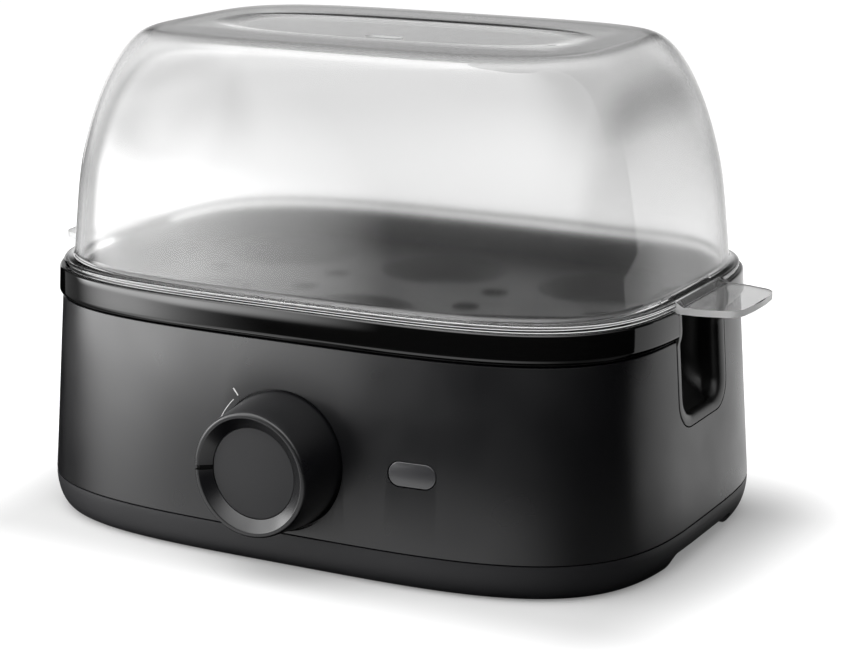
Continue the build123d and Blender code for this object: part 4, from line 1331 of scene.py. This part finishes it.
class COOKER_OT_stage(bpy.types.Operator):
    """Sets the camera, the pale floor and the studio lights"""

    bl_idname = "cooker.stage"
    bl_label = "Stage"

    def execute(self, context):
        scene = context.scene
        scene.view_settings.view_transform = "Standard"
        shift = Vector((0, CENTRE_Y, 0))
        eye, target = Vector(EYE) + shift, Vector(TARGET) + shift
        camera = bpy.data.objects.new("camera", bpy.data.cameras.new("camera"))
        scene.collection.objects.link(camera)
        camera.location = eye
        camera.rotation_euler = (target - eye).to_track_quat("-Z", "Y").to_euler()
        camera.data.sensor_width = SENSOR_WIDTH
        camera.data.lens = LENS
        camera.data.clip_end = 50.0
        scene.camera = camera
        self.make_floor()
        self.make_world(scene)
        self.make_lights()
        return {"FINISHED"}

    def make_floor(self):
        bm = bmesh.new()
        bmesh.ops.create_grid(bm, x_segments=1, y_segments=1, size=6.0)
        material, tree = new_material("white_paper_sweep")
        ray = add_node(tree, "ShaderNodeLightPath").outputs
        beyond = folded(tree, (0, 0, 0))
        away = add_node(tree, "ShaderNodeVectorMath", {0: beyond}, operation="LENGTH")
        for operation, other in (("SUBTRACT", FOOTPRINT), ("MAXIMUM", (0, 0, 0))):
            beyond = add_node(
                tree, "ShaderNodeVectorMath", {0: beyond, 1: other}, operation=operation
            ).outputs[0]
        beyond = add_node(tree, "ShaderNodeVectorMath", {0: beyond}, operation="LENGTH")
        # Painted light: the camera-only glow grows with distance from the foot and paints the
        # sweep white away from the cooker
        spread = (beyond.outputs["Value"], (0.0, GLOW_REACH), (FLOOR_GLOW, 1.0))
        glow = join(tree, "MULTIPLY", ray["Is Camera Ray"], spread)
        pool = join(tree, "MULTIPLY", (away.outputs["Value"], POOL, (1.0, POOL_EDGE)))
        paper = add_node(tree, "ShaderNodeBsdfDiffuse", {"Color": linear("a4a4a4")})
        light, through = (
            add_node(tree, "ShaderNodeEmission", {"Color": WHITE, "Strength": power}).outputs[0]
            for power in (glow, pool)
        )
        both = add_node(tree, "ShaderNodeAddShader", {0: paper.outputs[0], 1: light})
        close_material(
            material, "ShaderNodeMixShader",
            {0: ray["Is Transmission Ray"], 1: both.outputs[0], 2: through},
        )
        floor = make_object("floor", bm)
        floor.data.materials.append(material)
        floor.location.y = FLOOR_MIDDLE
        floor.visible_glossy = False

    def make_world(self, scene):
        scene.world = bpy.data.worlds.new("white_studio")
        scene.world.use_nodes = True
        tree = scene.world.node_tree
        tree.nodes.clear()
        ray = add_node(tree, "ShaderNodeLightPath").outputs
        fill = join(tree, "MULTIPLY", ray["Is Diffuse Ray"], WORLD_FILL)
        power = join(tree, "MAXIMUM", ray["Is Camera Ray"], ray["Is Transmission Ray"], fill)
        glow = add_node(tree, "ShaderNodeBackground", {"Color": WHITE, "Strength": power})
        add_node(tree, "ShaderNodeOutputWorld", {"Surface": glow.outputs[0]})

    def make_lights(self):
        """A bent diffuser stands round the front and left, and two more glow behind."""
        self.dome("front_diffuser", self.front_power, (-100, 108), (-50, 77), FRONT_DOME)
        for name, power, around, up in (
            ("rear_glow", self.rear_power, (127, 245), (-5, 50)),
            ("low_glow", self.low_power, (109, 233), (-25, -5)),
        ):
            self.dome(name, power, around, up, REAR_DOME).visible_diffuse = False

    def front_power(self, tree, around, rise):
        """Veil on the lid, strip on the left, sky above and strip near the table, in degrees."""
        border = join(
            tree, "MAXIMUM", (around, (-82, -69), (0.0, 1.0)), (rise, (46, 60), (0.0, 1.0))
        )
        veil = join(
            tree, "MULTIPLY", (around, (-18, -37), (0.0, VEIL_STRENGTH)),
            (rise, (4, 14), (1.0, 0.51)), (rise, (-9, -5), (0.0, 1.0)), border,
        )
        left = join(
            tree, "MULTIPLY", (around, (-27, -47), (0.0, LEFT_STRENGTH)),
            (around, (-80, -50), (0.05, 1.0)), (rise, (-24, -10), (0.45, 1.0)),
        )
        upper = join(
            tree, "MULTIPLY", (rise, (5, 44), (0.03, UPPER_STRENGTH)),
            (around, (20, 95), (1.0, 0.2)), border,
        )
        low = join(
            tree, "MULTIPLY", (rise, (-14, -27), (0.0, LOW_STRENGTH)),
            (around, (0, 60), (1.0, 0.1)), (around, (-60, -35), (0.0, 1.0)),
        )
        return join(tree, "MAXIMUM", veil, left, upper, low)

    def rear_power(self, tree, around, rise):
        return join(tree, "MULTIPLY", (rise, (3, 18), (REAR_STRENGTH, 0.05 * REAR_STRENGTH)))

    def low_power(self, tree, around, rise):
        return join(tree, "MULTIPLY", (around, (112, 155), (0.8, 1.1)))

    def dome(self, name, power, around, up, radius):
        """Glowing piece of a sphere round the cooker, whose UVs hold its degrees."""
        bm = bmesh.new()
        bmesh.ops.create_grid(bm, x_segments=64, y_segments=40, size=0.5)
        layer = bm.loops.layers.uv.new("UVMap")

        def degrees(spot):
            return (
                around[0] + (around[1] - around[0]) * (spot.x + 0.5),
                up[0] + (up[1] - up[0]) * (spot.y + 0.5),
            )

        for face in bm.faces:
            for loop in face.loops:
                loop[layer].uv = degrees(loop.vert.co)
        for vert in bm.verts:
            turn, lean = (math.radians(value) for value in degrees(vert.co))
            flat = radius * math.cos(lean)
            vert.co = (
                flat * math.sin(turn), CENTRE_Y - flat * math.cos(turn),
                DOME_HEIGHT + radius * math.sin(lean),
            )
        material, tree = new_material(name)
        uv = add_node(tree, "ShaderNodeUVMap", uv_map="UVMap").outputs[0]
        split = add_node(tree, "ShaderNodeSeparateXYZ", {0: uv}).outputs
        close_material(
            material, "ShaderNodeEmission",
            {"Color": WHITE, "Strength": power(tree, split["X"], split["Y"])},
        )
        panel = make_object(name, bm)
        panel.data.materials.append(material)
        panel.visible_camera = False
        panel.visible_transmission = False
        panel.visible_shadow = False
        return panel


class COOKER_PT_panel(bpy.types.Panel):
    """Shows a button for each of the cooker's build steps"""

    bl_label = "Egg cooker"
    bl_idname = "COOKER_PT_panel"
    bl_space_type = "VIEW_3D"
    bl_region_type = "UI"
    bl_category = "Cooker"

    def draw(self, context):
        for step in STEPS:
            self.layout.operator(step.bl_idname)


STEPS = (
    COOKER_OT_stage,
    COOKER_OT_materials,
    COOKER_OT_housing,
    COOKER_OT_cover,
    COOKER_OT_rim,
    COOKER_OT_grips,
    COOKER_OT_tray,
    COOKER_OT_lid,
    COOKER_OT_knob,
    COOKER_OT_scale,
    COOKER_OT_window,
)
CLASSES = (CookerSizes, CookerColours, *STEPS, COOKER_PT_panel)


def register():
    for cls in CLASSES:
        bpy.utils.register_class(cls)
    bpy.types.Scene.cooker_sizes = PointerProperty(type=CookerSizes)
    bpy.types.Scene.cooker_colours = PointerProperty(type=CookerColours)


def unregister():
    del bpy.types.Scene.cooker_colours
    del bpy.types.Scene.cooker_sizes
    for cls in reversed(CLASSES):
        bpy.utils.unregister_class(cls)


def main():
    register()
    for step in STEPS:
        group, name = step.bl_idname.split(".")
        getattr(getattr(bpy.ops, group), name)()


if __name__ == "__main__":
    main()
